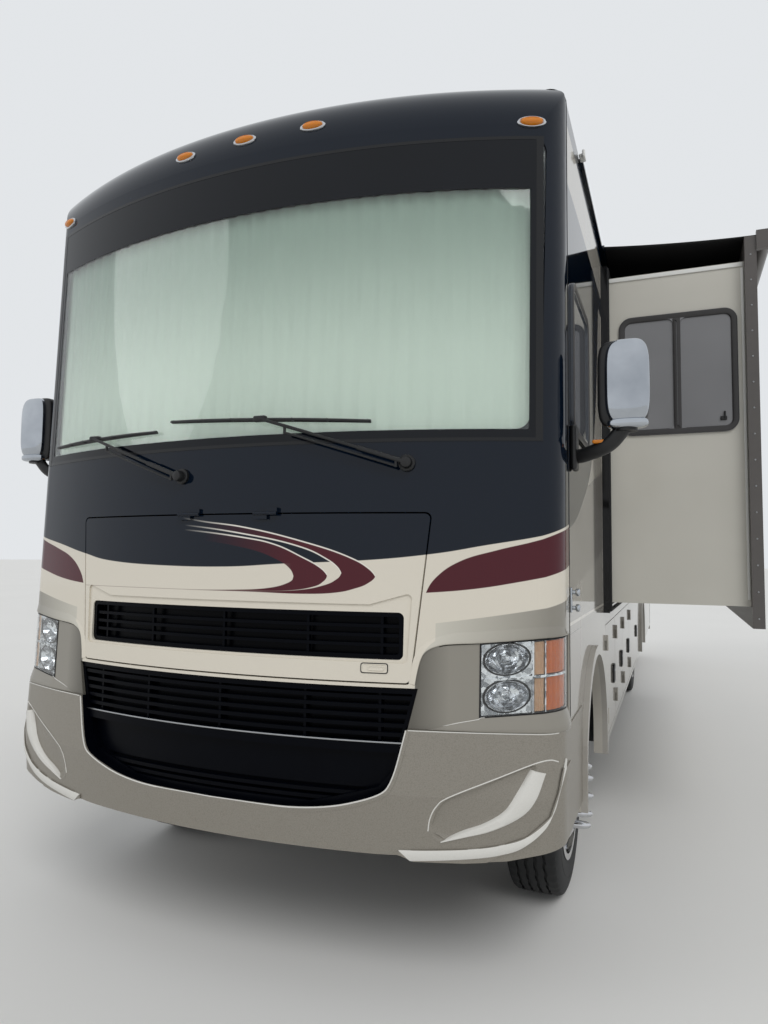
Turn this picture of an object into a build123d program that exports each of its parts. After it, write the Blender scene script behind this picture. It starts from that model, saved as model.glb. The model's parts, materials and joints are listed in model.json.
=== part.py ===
from build123d import *
import math
import os

os.makedirs("parts", exist_ok=True)

# Motorhome in millimetres. X to the driver's side, Y to the rear, Z up, ground at Z = 0.
# Y = 0 is the seam between the front cap and the side walls before the last shift to the box centre.

# House
width = 2565.0
half = width / 2
wall = 50.0
side_bottom = 540.0
roof_split = 3340.0
roof_eave = 3500.0
roof_top = 3560.0
roof_wall = 90.0
roof_edge_r = 80.0
cap_end = 30.0
rear_seam = 10000.0
rear_face = 10220.0
floor_top = 1300.0
floor_thick = 80.0
seat_gap = 0.3
panel_gap = 5.0
pin_gap = 0.5

# Bowed front: one vertical axis serves glass, hood hatch, grilles and brow
cut_front = -700.0
bow_r = 3300.0
corner_r = 130.0
nose_top_y = -330.0
nose_top_z = 3230.0
nose_low_y = -420.0
nose_low_z = 950.0
brow_z = 3260.0
brow_r = 300.0
cap_wall = 30.0
crease_z = 985.0
bumper_out = 22.0
bumper_bottom = 545.0
bumper_wall = 28.0
bumper_end = 380.0

# Running gear
wheelbase = 5790.0
front_axle_y = 885.0
rear_axle_y = front_axle_y + wheelbase
tyre_r = 457.0
tyre_w = 245.0
rim_r = 286.0
front_wheel_x = 1048.0
rear_outer_x = 1055.0
twin_gap = 285.0
rear_inner_x = rear_outer_x - twin_gap
kingpin_x = 868.0
axle_z = tyre_r
arm_back = 185.0
arm_drop = 136.0
arm_t = 30.0
arch_r = 485.0
arch_z = 650.0
rail_x = 430.0
rail_z0 = 700.0
rail_z1 = 930.0
rail_w = 80.0
rail_front = -230.0
rail_rear = 9900.0

# Slide-out room, extended
slide_y0 = 1501.0
slide_y1 = 5300.0
slide_z0 = 1360.0
slide_z1 = 3250.0
slide_out_x = 2037.0
slide_wall = 40.0
slide_in_x = 1190.0
slide_travel = 700.0
slide_gap = 16.0
flange_t = 58.0
flange_z0 = 1248.0
flange_z1 = 3362.0
flange_side = 62.0
seal_out = 38.0
roller_in = 1198.0
roller_r = (slide_z0 - floor_top - seat_gap) / 2

# Doors: y from, y to
door_z0 = 570.0
door_z1 = 1225.0
bay_doors_left = [(1580, 2260), (2300, 3020), (3060, 3900), (3940, 5300)]
bay_doors_right = [(2560, 3900), (3940, 5300)]
bay_depth = 700.0
bay_wall = 20.0
entry_y0 = 1600.0
entry_y1 = 2300.0
entry_z0 = 640.0
entry_z1 = 2620.0
hinge_out = 9.0
hinge_r = 7.0

# Hood hatch, front view: x and z of the corners, and of the field pressed into it
hatch_top = (826.0, 1763.0)
hatch_low = (762.0, 1146.0)
hatch_wall = 20.0
hatch_field = [(-752, 1216), (752, 1216), (766, 1472), (610, 1426), (-610, 1426), (-766, 1472)]
field_deep = 7.0
grille_in_hatch = (735.0, 1226.0, 1398.0)
grille_posts = (-650, -365, 0, 365, 650)

parts = {}


def block(x0, x1, y0, y1, z0, z1):
    return Pos((x0 + x1) / 2, (y0 + y1) / 2, (z0 + z1) / 2) * Box(x1 - x0, y1 - y0, z1 - z0)


def rod_x(x0, x1, y, z, r):
    return Pos((x0 + x1) / 2, y, z) * Rot(0, 90, 0) * Cylinder(r, x1 - x0)


def rod_y(y0, y1, x, z, r):
    return Pos(x, (y0 + y1) / 2, z) * Rot(90, 0, 0) * Cylinder(r, y1 - y0)


def rod_z(z0, z1, x, y, r):
    return Pos(x, y, (z0 + z1) / 2) * Cylinder(r, z1 - z0)


def side_plate(y0, y1, z0, z1, r, x0, x1):
    """Rounded rectangle in the YZ plane, between two X planes."""
    face = Plane.YZ * Pos((y0 + y1) / 2, (z0 + z1) / 2) * RectangleRounded(y1 - y0, z1 - z0, r)
    return Pos(x0, 0, 0) * extrude(face, x1 - x0)


def front_plate(x0, x1, z0, z1, r, y0, y1):
    """Rounded rectangle in the XZ plane, between two Y planes."""
    face = Plane.XZ * Pos((x0 + x1) / 2, (z0 + z1) / 2) * RectangleRounded(x1 - x0, z1 - z0, r)
    return Pos(0, y1, 0) * extrude(face, y1 - y0)


def front_shape(points, y0, y1, radius=0.0):
    """Polygon in the front view, with rounded corners, between two Y planes."""
    face = make_face(Polyline(*points, close=True))
    if radius > 0:
        face = fillet(face.vertices(), radius)
    return Pos(0, y1, 0) * extrude(Plane.XZ * face, y1 - y0)


def turned(points):
    """Profile of (x, radius) points turned about the X axis."""
    return revolve(Plane.XZ * make_face(Polyline(*points, close=True)), Axis.X)


def both(shape):
    return [shape, mirror(shape, Plane.YZ)]


def fuse(shapes):
    shapes = list(shapes)
    return shapes[0].fuse(*shapes[1:]) if len(shapes) > 1 else shapes[0]


def nose_y(z):
    return nose_top_y + (z - nose_top_z) * (nose_low_y - nose_top_y) / (nose_low_z - nose_top_z)


def plan(y_front, z, inset, y_back, half_w=half):
    """Bowed plan outline with round corners, as a face at height z."""
    r = bow_r - inset
    c = corner_r - inset
    w = half_w - inset
    bow_y = y_front + bow_r
    cx = w - c
    cy = bow_y - math.sqrt((r - c) ** 2 - cx ** 2)
    tx = cx * r / (r - c)
    ty = bow_y + (cy - bow_y) * r / (r - c)
    mid = math.atan2(ty - cy, tx - cx) / 2
    mx, my = cx + c * math.cos(mid), cy + c * math.sin(mid)
    outline = [
        ThreePointArc((-tx, ty), (0, bow_y - r), (tx, ty)),
        ThreePointArc((tx, ty), (mx, my), (w, cy)),
        Line((w, cy), (w, y_back)),
        Line((w, y_back), (-w, y_back)),
        Line((-w, y_back), (-w, cy)),
        ThreePointArc((-w, cy), (-mx, my), (-tx, ty)),
    ]
    return Pos(0, 0, z) * make_face(outline)


def house_face(inset, top_inset):
    """Front view of the house: straight sides, round roof edges and a crowned roof."""
    w = half - inset
    r = roof_edge_r
    eave = roof_eave - top_inset
    top = roof_top - top_inset
    bend = r * (1 - math.sqrt(0.5))
    outline = [
        Line((-w, 0), (w, 0)),
        Line((w, 0), (w, eave - r)),
        ThreePointArc((w, eave - r), (w - bend, eave - bend), (w - r, eave)),
        ThreePointArc((w - r, eave), (0, top), (r - w, eave)),
        ThreePointArc((r - w, eave), (bend - w, eave - bend), (-w, eave - r)),
        Line((-w, eave - r), (-w, 0)),
    ]
    return make_face(outline)


def house_prism(inset, top_inset, y0, y1):
    return Pos(0, y1, 0) * extrude(Plane.XZ * house_face(inset, top_inset), y1 - y0)


def cap_form(inset, z0=crease_z, y_back=cap_end):
    """Front cap's outer form, or its inner form at a given inset."""
    z1 = roof_top + 60
    body = loft([
        plan(nose_y(z0), z0, inset, cap_end + 300),
        plan(nose_y(z1), z1, inset, cap_end + 300),
    ], ruled=True)
    axis_y = nose_y(brow_z) + bow_r
    r = bow_r - inset
    b = brow_r - inset
    bend = math.sqrt(0.5)
    brow = make_face([
        Line((0, 0), (r + 160, 0)),
        Line((r + 160, 0), (r, brow_z)),
        ThreePointArc((r, brow_z), (r - b + b * bend, brow_z + b * bend), (r - b, brow_z + b)),
        Line((r - b, brow_z + b), (0, brow_z + b)),
        Line((0, brow_z + b), (0, 0)),
    ])
    turned = revolve(Plane.XZ * brow, Axis.Z)
    shape = body & (Pos(0, axis_y, 0) * turned)
    return shape & house_prism(inset, inset, cut_front, y_back)


def bumper_form(inset):
    y_back = bumper_end
    rows = [(bumper_bottom - 120, 0), (760, bumper_out + 8), (crease_z, bumper_out - 6)]
    levels = [plan(nose_y(crease_z) - out, z, inset, y_back, half + min(out, 4)) for z, out in rows]
    return loft(levels[:2], ruled=True) + loft(levels[1:], ruled=True)


# Front cap, glass, hatch, grille and bumper
outer = cap_form(0)
inner = cap_form(cap_wall, crease_z - 1, cap_end + 1)
glass_shape = [(-1205, 2040), (1205, 2040), (1222, 3222), (-1222, 3222)]
glass_seat = [(-1165, 2080), (1165, 2080), (1180, 3182), (-1180, 3182)]
glass_t = 8.0
hatch_pts = [(-hatch_low[0], hatch_low[1]), hatch_low, hatch_top, (-hatch_top[0], hatch_top[1])]


def grow(points, by):
    """Moves each corner of a symmetric front-view outline outwards."""
    z_mid = sum(z for _, z in points) / len(points)
    return [(x + math.copysign(by, x), z + math.copysign(by, z - z_mid)) for x, z in points]


# Headlamp in its bucket, front view of the driver's side
lamp_in, lamp_out, lamp_back = 1003.0, 1300.0, -25.0
lamp_pts = [(lamp_in, 1030), (lamp_out, 1058), (lamp_out, 1322), (lamp_in, 1294)]
lamp_deep = 85.0
lens_inset = 14.0
bowl_r = 56.0
bowl_x = lamp_in + 84
bowl_heights = (1102.0, 1234.0)
bucket_pts = [
    (792, 987), (lamp_out, 987), (lamp_out, 1334), (940, 1304), (872, 1288), (838, 1250), (816, 1140),
]
bucket_in = 792.0
bucket_deep = 38.0
bucket_floor = 30.0
shelf_deep = 12.0

# Lower grille, front view: x and z down the driver's side
grille_side = [(427.0, 680.0), (672.0, 748.0), (716.0, 802.0), (792.0, 1128.0)]


def grille_outline(by):
    right = [(x + by, z - by) for x, z in grille_side[:-1]]
    right.append((grille_side[-1][0] + by, grille_side[-1][1] + by))
    return right + [(-x, z) for x, z in reversed(right)]


def grille_half(z):
    """Half width of the lower grille at a height."""
    for (x0, z0), (x1, z1) in zip(grille_side, grille_side[1:]):
        if z <= z1:
            return x0 + (x1 - x0) * (z - z0) / (z1 - z0)
    return grille_side[-1][0]


cap = outer - inner
rebate = cap_form(0) - cap_form(glass_t + seat_gap, crease_z - 1, cap_end + 1)
cap -= rebate & front_shape(grow(glass_shape, 3), cut_front, 100, 60)
cap -= front_shape(glass_seat, cut_front, 0, 50)
cap -= front_shape(grow(hatch_pts, panel_gap + 1), cut_front, -100, 24)
cap -= front_shape(grille_outline(seat_gap), cut_front, -100)


def plan_wall(x0, x1, y0, y1, deep, z0, z1):
    """Upright wall between two plan points, deep to the rear, or to the front where negative."""
    outline = [(x0, y0), (x1, y1), (x1, y1 + deep), (x0, y0 + deep)]
    return Pos(0, 0, z0) * extrude(make_face(Polyline(*outline, close=True)), z1 - z0)


def surface_y(x, z):
    return nose_y(z) + bow_r - math.sqrt(bow_r ** 2 - x ** 2)


lamp_mid_z = sum(bowl_heights) / 2
slope_y0 = surface_y(bucket_in, lamp_mid_z)
slope_y1 = surface_y(lamp_in, lamp_mid_z) + bucket_deep
slope = (bucket_in, lamp_in - seat_gap, slope_y0, slope_y1)
bucket_top = 1340.0
bucket = front_shape(bucket_pts, cut_front, lamp_back)
floor_of_bucket = plan_wall(*slope, bucket_floor, crease_z, bucket_top) & cap_form(0)
wedge = plan_wall(*slope, -400, crease_z, bucket_top) & bucket
shelf = (cap_form(-1) - cap_form(shelf_deep, crease_z - 1)) & bucket
shelf = shelf & block(lamp_in - 1, half + 50, cut_front, lamp_back, crease_z, bucket_top)
hole_pts = [
    (x + math.copysign(seat_gap, x - lamp_in - 1), z + math.copysign(seat_gap, z - lamp_mid_z))
    for x, z in lamp_pts
]
lamp_hole = front_shape(hole_pts, cut_front, lamp_back)
for solid in both(floor_of_bucket):
    cap += solid
for cut in both(wedge) + both(shelf) + both(lamp_hole):
    cap -= cut
cap -= block(-half - 1, half + 1, cut_front, 900, crease_z - 10, crease_z)
parts["front_cap"] = cap

pane = cap_form(0) - cap_form(glass_t, crease_z - 1, cap_end + 1)
parts["windshield"] = pane & front_shape(glass_shape, cut_front, 100, 60)
shade_pts = [(-1186, 2040), (1186, 2040), (1186, 3030), (-1186, 3030)]
shade = cap_form(cap_wall + 0.4) - cap_form(cap_wall + 4.4, crease_z - 1, cap_end + 1)
parts["windshield_shade"] = shade & front_shape(shade_pts, cut_front, 25, 20)

hatch = cap_form(0) - cap_form(hatch_wall, crease_z - 1, cap_end + 1)
hatch = hatch & front_shape(hatch_pts, cut_front, -100, 20)
hatch -= (cap_form(-1) - cap_form(field_deep, crease_z - 1)) & front_shape(hatch_field, cut_front, -100, 18)
gw, gz0, gz1 = grille_in_hatch
hatch -= front_plate(-gw, gw, gz0, gz1, 22, cut_front, -100)


def bowed_band(inset_front, inset_back, y_front, z0, z1):
    """Part of a ring about the bow's axis, for bars and backs."""
    c = Pos(0, y_front + bow_r, 0)
    ring = Cylinder(bow_r - inset_front, z1 - z0) - Cylinder(bow_r - inset_back, z1 - z0)
    return c * Pos(0, 0, (z0 + z1) / 2) * ring


up_frame = front_plate(seat_gap - gw, gw - seat_gap, gz0 + seat_gap, gz1 - seat_gap, 22, cut_front, -100)
up_frame -= front_plate(-gw + 19, gw - 19, gz0 + 17, gz1 - 17, 12, cut_front, -100)
up = [bowed_band(12, 44, nose_y(gz1), gz0 - 20, gz1 + 20) & up_frame]
up_rows = 3
pitch = (gz1 - gz0 - 34) / (up_rows + 1)
for n in range(up_rows):
    z = gz0 + 17 + pitch * (n + 1)
    bar = bowed_band(18, 40, nose_y(gz1), z - 6, z + 6)
    up.append(bar & block(-gw + 10, gw - 10, cut_front, -100, z - 9, z + 9))
for x in grille_posts:
    post = bowed_band(22, 38, nose_y(gz1), gz0 + 6, gz1 - 6)
    up.append(post & block(x - 5, x + 5, cut_front, -100, gz0, gz1))
parts["upper_grille"] = fuse(up)

hinge_y = nose_y(hatch_top[1]) - hinge_r - 2
hinge_z = hatch_top[1] + 3
for x in (-180, 180):
    hatch += rod_x(x - 45, x + 15, hinge_y, hinge_z, hinge_r)
    hatch += block(x - 45, x + 15, hinge_y, hinge_y + 22, hinge_z - 22, hinge_z - 2)
parts["hood_hatch"] = hatch
for x in (-180, 180):
    parts["front_cap"] += rod_x(x + 15 + seat_gap, x + 60, hinge_y, hinge_z, hinge_r)
    parts["front_cap"] += block(x + 15 + seat_gap, x + 60, hinge_y, hinge_y + 24, hinge_z + 2, hinge_z + 22)

low_y = nose_y(crease_z) - bumper_out
low_z0, low_z1 = grille_side[0][1], grille_side[-1][1]
low_back = bowed_band(74, 92, low_y, low_z0 - 30, low_z1 + 30) & front_shape(grille_outline(0), cut_front, 0)
low_rim = front_shape(grille_outline(0), cut_front, 0) - front_shape(grille_outline(-22), cut_front, 0)
low = [bowed_band(36, 92, low_y, low_z0 - 30, low_z1 + 30) & low_rim]
slats = [    # middle height, height, inset of its front
    (716, 14, 44), (742, 14, 44), (828, 136, 62), (915, 38, 30),
    (958, 14, 40), (991, 14, 40), (1024, 14, 40), (1057, 14, 40), (1090, 14, 40),
]
for z, tall, inset in slats:
    reach = grille_half(z) - 10
    slat = bowed_band(inset, 78, low_y, z - tall / 2, z + tall / 2)
    low.append(slat & block(-reach, reach, cut_front, 0, z - tall, z + tall))
for x in grille_posts:
    low.append(bowed_band(46, 78, low_y, 915, low_z1 - 10) & block(x - 5, x + 5, cut_front, 0, 900, low_z1))
parts["lower_grille"] = fuse(low + [low_back])

# Scoop pressed into each bumper corner, with the lip under it
scoop_pts = [
    (905, 606), (1030, 651), (1112, 698), (1160, 779), (1205, 868), (1190, 882), (912, 764), (872, 728),
    (845, 640),
]
lip_pts = [
    (735, 566), (991, 585), (1086, 603), (1165, 632), (1241, 702), (1266, 778), (1280, 860), (1310, 860),
    (1262, 738), (1226, 663), (1149, 598), (1070, 560), (960, 500), (735, 500),
]
corner_low = [
    (655, 545), (740, 548), (785, 530), (960, 534), (1100, 546), (1200, 568), (1310, 592), (1310, 0),
    (655, 0),
]
scoop_deep = 15.0
lip_out = 5.0
corner_y = -30.0

bumper = bumper_form(0) - bumper_form(bumper_wall)
face_skin = bumper_form(-lip_out) - bumper_form(scoop_deep)
lip_skin = bumper_form(-lip_out) - bumper_form(lip_out)
for extra in both(lip_skin & front_shape(lip_pts, -900, corner_y)):
    bumper += extra
for cut in both(face_skin & front_shape(scoop_pts, -900, corner_y)):
    bumper -= cut
bumper -= block(-2000, 2000, -900, 2000, crease_z - seat_gap, crease_z + 60)
bumper -= front_shape(grille_outline(seat_gap), -900, 0)
bumper -= block(-660, 660, -900, 900, 0, bumper_bottom)
for cut in both(front_shape(corner_low, -900, 900)):
    bumper -= cut
arch_cut = rod_x(-half - 60, half + 60, front_axle_y, arch_z, arch_r + 8)
arch_cut += block(-half - 60, half + 60, front_axle_y - arch_r - 8, front_axle_y + arch_r + 8, 0, arch_z)
bumper -= arch_cut
parts["front_bumper"] = bumper

lamp = cap_form(lens_inset) - cap_form(lamp_deep, crease_z - 1, cap_end + 1)
lamp = lamp & front_shape(lamp_pts, cut_front, lamp_back - seat_gap)
for z in bowl_heights:
    lamp -= rod_y(-400, surface_y(bowl_x, z) + 60, bowl_x, z, bowl_r)
parts["headlamps"] = Compound(children=both(lamp))

markers = []
axis_y = nose_y(brow_z) + bow_r
for x, z in ((-1170, 3285), (-315, 3352), (0, 3352), (315, 3352), (1170, 3285)):
    drop = z - brow_z
    back = brow_r - math.sqrt(brow_r ** 2 - drop ** 2)
    y = axis_y - math.sqrt((bow_r - back) ** 2 - x ** 2)
    turn = math.degrees(math.asin(x / bow_r))
    body = Pos(x, y - 6, z) * Rot(0, 0, turn) * Box(92, 30, 24)
    markers.append(fillet(body.edges().filter_by(Axis.Z), 9) - cap_form(-seat_gap))
tail_y = rear_face
for x in (-1080, 1080):
    for z in (1500, 1680, 1860):
        markers.append(rod_y(tail_y + seat_gap, tail_y + 26, x, z, 72))
parts["marker_lamps"] = Compound(children=[m.solids()[0] for m in markers])

# Wipers lie on the glass
wipers = []
wiper_rows = [    # pivot x and z, blade joint x and z, blade from x to x
    (736, 1952, 95, 2188, -410, 520),
    (-222, 1925, -760, 2165, -1090, -440),
]
for pivot_x, pivot_z, tip_x, tip_z, b0, b1 in wiper_rows:
    y_p = axis_y - math.sqrt((bow_r + 30) ** 2 - pivot_x ** 2)
    y_t = axis_y - math.sqrt((bow_r + 42) ** 2 - tip_x ** 2)
    y_p = y_p + nose_y(pivot_z) - nose_y(brow_z)
    y_t = y_t + nose_y(tip_z) - nose_y(brow_z)
    arm = Line((pivot_x, y_p, pivot_z), (tip_x, y_t, tip_z))
    wiper = sweep(Plane(arm @ 0, z_dir=arm % 0) * Circle(9), path=arm)
    wiper += rod_y(y_p - 22, y_p + 28, pivot_x, pivot_z, 30)
    blade = bowed_band(-34, -20, nose_y(tip_z), tip_z - 9, tip_z + 9)
    wiper += blade & block(b0, b1, -900, 200, tip_z - 10, tip_z + 10)
    wiper += Pos(tip_x, y_t + 4, tip_z) * Box(60, 26, 22)
    wiper -= cap_form(-seat_gap)
    wipers.append(wiper)
parts["wipers"] = Compound(children=[each.solids().sort_by(SortBy.VOLUME)[-1] for each in wipers])

# Mirrors, a foot and a bent arm on each front corner and a tall head
foot = side_plate(60, 150, 1950, 2130, 20, half + seat_gap, half + 26)
arm_line = Polyline((half + 12, 105, 2010), (1400, 60, 2030), (1490, 40, 2110))
arm_face = Plane(arm_line @ 0, z_dir=arm_line % 0) * RectangleRounded(44, 60, 16)
arm_tube = sweep(arm_face, path=arm_line, transition=Transition.RIGHT)
head = Pos(1497, 30, 2262) * Box(172, 110, 345)
head = fillet(head.edges().filter_by(Axis.Z), 30)
head = chamfer(head.edges().group_by(Axis.Z)[-1] + head.edges().group_by(Axis.Z)[0], 18)
mirror_one = fuse([foot, arm_tube, head])
mirror_one -= side_plate(-200, 400, 1800, 2400, 10, 0, half + seat_gap)
parts["mirrors"] = Compound(children=both(mirror_one.solids().sort_by(SortBy.VOLUME)[-1]))

# Side walls
tube = house_prism(0, 0, cap_end, rear_seam) - house_prism(wall, roof_wall, cap_end - 1, rear_seam + 1)
left = tube & block(0, 2000, cap_end, rear_seam, side_bottom, roof_split)
right = tube & block(-2000, 0, cap_end, rear_seam, side_bottom, roof_split)
arch_lip = 24.0


def arch(x_side, y, r):
    cut = rod_x(min(0, x_side * 2), max(0, x_side * 2), y, arch_z, r)
    return cut + block(min(0, x_side * 2), max(0, x_side * 2), y - r, y + r, 0, arch_z)


def arch_flare(side, y, z_low):
    x0, x1 = (half - 2, half + arch_lip) if side > 0 else (-half - arch_lip, -half + 2)
    ring = rod_x(x0, x1, y, arch_z, arch_r + 46) - rod_x(x0 - 1, x1 + 1, y, arch_z, arch_r)
    ring = ring & block(x0 - 5, x1 + 5, y - 600, y + 600, arch_z, arch_z + 700)
    for y0, y1 in ((y - arch_r - 46, y - arch_r), (y + arch_r, y + arch_r + 46)):
        ring += block(x0, x1, y0, y1, z_low, arch_z)
    return ring


def dress_wall(shape, side):
    shape += arch_flare(side, front_axle_y, side_bottom)
    shape += arch_flare(side, rear_axle_y, side_bottom)
    shape -= arch(side * half, front_axle_y, arch_r)
    shape -= arch(side * half, rear_axle_y, arch_r)
    x0, x1 = (half - wall - 5, half + 60) if side > 0 else (-half - 60, wall + 5 - half)
    shape -= block(x0, x1, cap_end - 5, bumper_end + seat_gap, 0, crease_z)
    return shape


left = dress_wall(left, 1)
right = dress_wall(right, -1)
hole_y0, hole_y1 = slide_y0 - slide_gap, slide_y1 + slide_gap
hole_z0, hole_z1 = slide_z0 - slide_gap, slide_z1 + slide_gap
slide_hole = block(half - 200, half + 200, hole_y0, hole_y1, hole_z0, hole_z1)
seal_w = 42.0
seal_y, seal_z = (hole_y0 - seal_w, hole_y1 + seal_w), (hole_z0 - seal_w, hole_z1 + seal_w)
seal = block(half - 1, half + seal_out, *seal_y, *seal_z)
left = left + seal - slide_hole
windows_left = [(140, 680, 2130, 2720, 60), (7300, 8300, 2200, 2760, 60)]
windows_right = [(140, 680, 2130, 2720, 60), (2900, 4100, 2150, 2850, 60), (7300, 8300, 2200, 2760, 60)]


def window_unit(y0, y1, z0, z1, r, side):
    """Flange outside the wall and a pane that fills the opening."""
    x_out = half + seat_gap
    unit = side_plate(y0 - 22, y1 + 22, z0 - 22, z1 + 22, r + 18, x_out, x_out + 9)
    unit -= side_plate(y0 + 18, y1 - 18, z0 + 18, z1 - 18, r - 18, x_out + 3, x_out + 20)
    unit += side_plate(y0 + 3, y1 - 3, z0 + 3, z1 - 3, r - 3, half - 30, x_out + 3)
    return unit if side > 0 else mirror(unit, Plane.YZ)


panes = []
for y0, y1, z0, z1, r in windows_left:
    left -= side_plate(y0, y1, z0, z1, r, half - 100, half + 100)
    panes.append(window_unit(y0, y1, z0, z1, r, 1))
for y0, y1, z0, z1, r in windows_right:
    right -= side_plate(y0, y1, z0, z1, r, -half - 100, -half + 100)
    panes.append(window_unit(y0, y1, z0, z1, r, -1))


def bay_door(y0, y1, side):
    """Side-hinged door with its hinge knuckles at the front edge and a flush latch."""
    y0, y1 = y0 + panel_gap, y1
    d = block(half - wall, half, y0, y1, door_z0 + panel_gap, door_z1 - panel_gap)
    d = fillet(d.edges().filter_by(Axis.X), 8)
    hinge_x = half + hinge_out
    y_axis = y0 - panel_gap / 2
    for z in (door_z0 + 120, door_z1 - 120):
        d += rod_z(z - 30, z + 30, hinge_x, y_axis, hinge_r)
        d += block(half - 1, hinge_x, y_axis, y_axis + 30, z - 30, z + 30)
    d += side_plate(y1 - 190, y1 - 90, 815, 925, 18, half - 1, half + 6)
    return d if side > 0 else mirror(d, Plane.YZ)


def door_hole(y0, y1, z0, z1, side):
    x0, x1 = (half - wall - 20, half + 20) if side > 0 else (-half - 20, wall + 20 - half)
    return block(x0, x1, y0, y1 + panel_gap, z0, z1)


def wall_hinge(y0, heights, reach, side):
    """Knuckles on the wall, each on top of a door's own knuckle."""
    y_axis = y0 + panel_gap / 2
    knuckles = []
    for z in heights:
        z0, z1 = z + reach + seat_gap, z + 2 * reach
        k = rod_z(z0, z1, half + hinge_out, y_axis, hinge_r)
        k += block(half - 1, half + hinge_out, y_axis - 30, y_axis, z0, z1)
        knuckles.append(k if side > 0 else mirror(k, Plane.YZ))
    return knuckles


door_hinges = (door_z0 + 120, door_z1 - 120)
entry_hinges = (entry_z0 + 200, (entry_z0 + entry_z1) / 2 - 150, entry_z1 - 200)
for y0, y1 in bay_doors_left:
    for k in wall_hinge(y0, door_hinges, 30, 1):
        left += k
for y0, y1 in bay_doors_right:
    for k in wall_hinge(y0, door_hinges, 30, -1):
        right += k
for k in wall_hinge(entry_y0, entry_hinges, 45, -1):
    right += k
for n, (y0, y1) in enumerate(bay_doors_left, 1):
    left -= door_hole(y0, y1, door_z0, door_z1, 1)
    parts[f"bay_door_left_{n}"] = bay_door(y0, y1, 1)
for n, (y0, y1) in enumerate(bay_doors_right, 1):
    right -= door_hole(y0, y1, door_z0, door_z1, -1)
    parts[f"bay_door_right_{n}"] = bay_door(y0, y1, -1)
right -= door_hole(entry_y0, entry_y1, entry_z0, entry_z1, -1)

entry = block(half - wall, half, entry_y0 + panel_gap, entry_y1, entry_z0 + panel_gap, entry_z1 - panel_gap)
entry = fillet(entry.edges().filter_by(Axis.X), 30)
entry_window = (entry_y0 + 140, entry_y1 - 140, 1750, 2480, 50)
entry -= side_plate(*entry_window, half - 100, half + 100)
for z in entry_hinges:
    entry += rod_z(z - 45, z + 45, half + hinge_out, entry_y0 + panel_gap / 2, hinge_r)
    entry += block(half - 1, half + hinge_out, entry_y0 + panel_gap / 2, entry_y0 + 34, z - 45, z + 45)
entry += side_plate(entry_y1 - 110, entry_y1 - 40, 1420, 1560, 16, half - 1, half + 14)
entry_pane = window_unit(*entry_window, 1)
door_solids = (entry.solids()[0], entry_pane.solids()[0])
parts["entry_door"] = Compound(children=[mirror(solid, Plane.YZ) for solid in door_solids])

parts["side_wall_left"] = left
parts["side_wall_right"] = right

# Rear cap with rounded corners
rear_r = 150.0


def rear_form(inset, y0):
    face = Pos(0, (y0 + rear_face) / 2 - inset / 2) * Rectangle(2 * (half - inset), rear_face - y0 - inset)
    corners = face.vertices().sort_by(Axis.Y)[-2:]
    face = fillet(corners, rear_r - inset)
    shape = extrude(face, 4000)
    return shape & house_prism(inset, inset, y0 - 10, rear_face + 10)


rear = rear_form(0, rear_seam) - rear_form(40, rear_seam - 60)
rear -= block(-2000, 2000, 9000, 11000, 0, 470)
rear += front_plate(-half + 60, half - 60, 500, 640, 30, rear_face - 30, rear_face + 70)
rear_window = (-520, 520, 2150, 2750, 60)
rear -= front_plate(*rear_window, rear_face - 200, rear_face + 100)
parts["rear_cap"] = rear
x0, x1, z0, z1, r = rear_window
unit = front_plate(x0 - 22, x1 + 22, z0 - 22, z1 + 22, r + 18, rear_face + seat_gap, rear_face + 9)
unit += front_plate(x0 + 3, x1 - 3, z0 + 3, z1 - 3, r - 3, rear_face - 25, rear_face + 3)
panes.append(unit)
parts["side_windows"] = Compound(children=[p.solids()[0] for p in panes])

ladder_x = 760.0
ladder = []
for x in (ladder_x - 170, ladder_x + 170):
    path = Polyline(
        (x, rear_face + 1, 1150), (x, rear_face + 90, 1150), (x, rear_face + 130, 1190),
        (x, rear_face + 130, 3640), (x, rear_face + 70, 3700), (x, rear_face - 200, 3700),
        (x, rear_face - 260, 3640), (x, rear_face - 260, 3480))
    rail_face = Plane(path @ 0, z_dir=path % 0) * Circle(16)
    ladder.append(sweep(rail_face, path=path, transition=Transition.RIGHT))
for n in range(7):
    ladder.append(rod_x(ladder_x - 170, ladder_x + 170, rear_face + 130, 1330 + 330 * n, 14))
ladder = fuse(ladder) - rear_form(-seat_gap, rear_seam - 400)
parts["ladder"] = ladder - house_prism(-seat_gap, -seat_gap, 9000, rear_seam)

# Roof, with the air conditioners and vents on it
roof = tube & block(-2000, 2000, cap_end, rear_seam, roof_split + seat_gap, 4000)
parts["roof"] = roof


def roof_z(x):
    w = half - roof_edge_r
    rise = roof_top - roof_eave
    r = (w ** 2 + rise ** 2) / (2 * rise)
    return roof_top - r + math.sqrt(r ** 2 - x ** 2)


units = []
for y, length in ((2600, 1050), (7300, 1050)):
    shroud = Pos(0, y, 3520) * extrude(RectangleRounded(780, length, 130), 370, taper=6)
    units.append(chamfer(shroud.edges().group_by(Axis.Z)[-1], 36))
for x, y in ((0, 1350), (0, 4700), (-450, 6000), (450, 9000)):
    units.append(Pos(x, y, 3505) * extrude(RectangleRounded(400, 400, 40), 130, taper=8))
units.append(rod_z(3500, 3860, cut_front, 480, 4) + rod_z(3500, 3590, cut_front, 480, 22))
keep_above = block(-2000, 2000, 0, 11000, 3000, 4400) - house_prism(-seat_gap, -seat_gap, -50, 10900)
parts["roof_units"] = Compound(children=[(each & keep_above).solids()[0] for each in units])

awning = rod_y(2700, 6900, -half - 66, 3185, 46) + block(-half - 60, -half - seat_gap, 2700, 6900, 3140, 3240)
parts["patio_awning"] = awning

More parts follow.
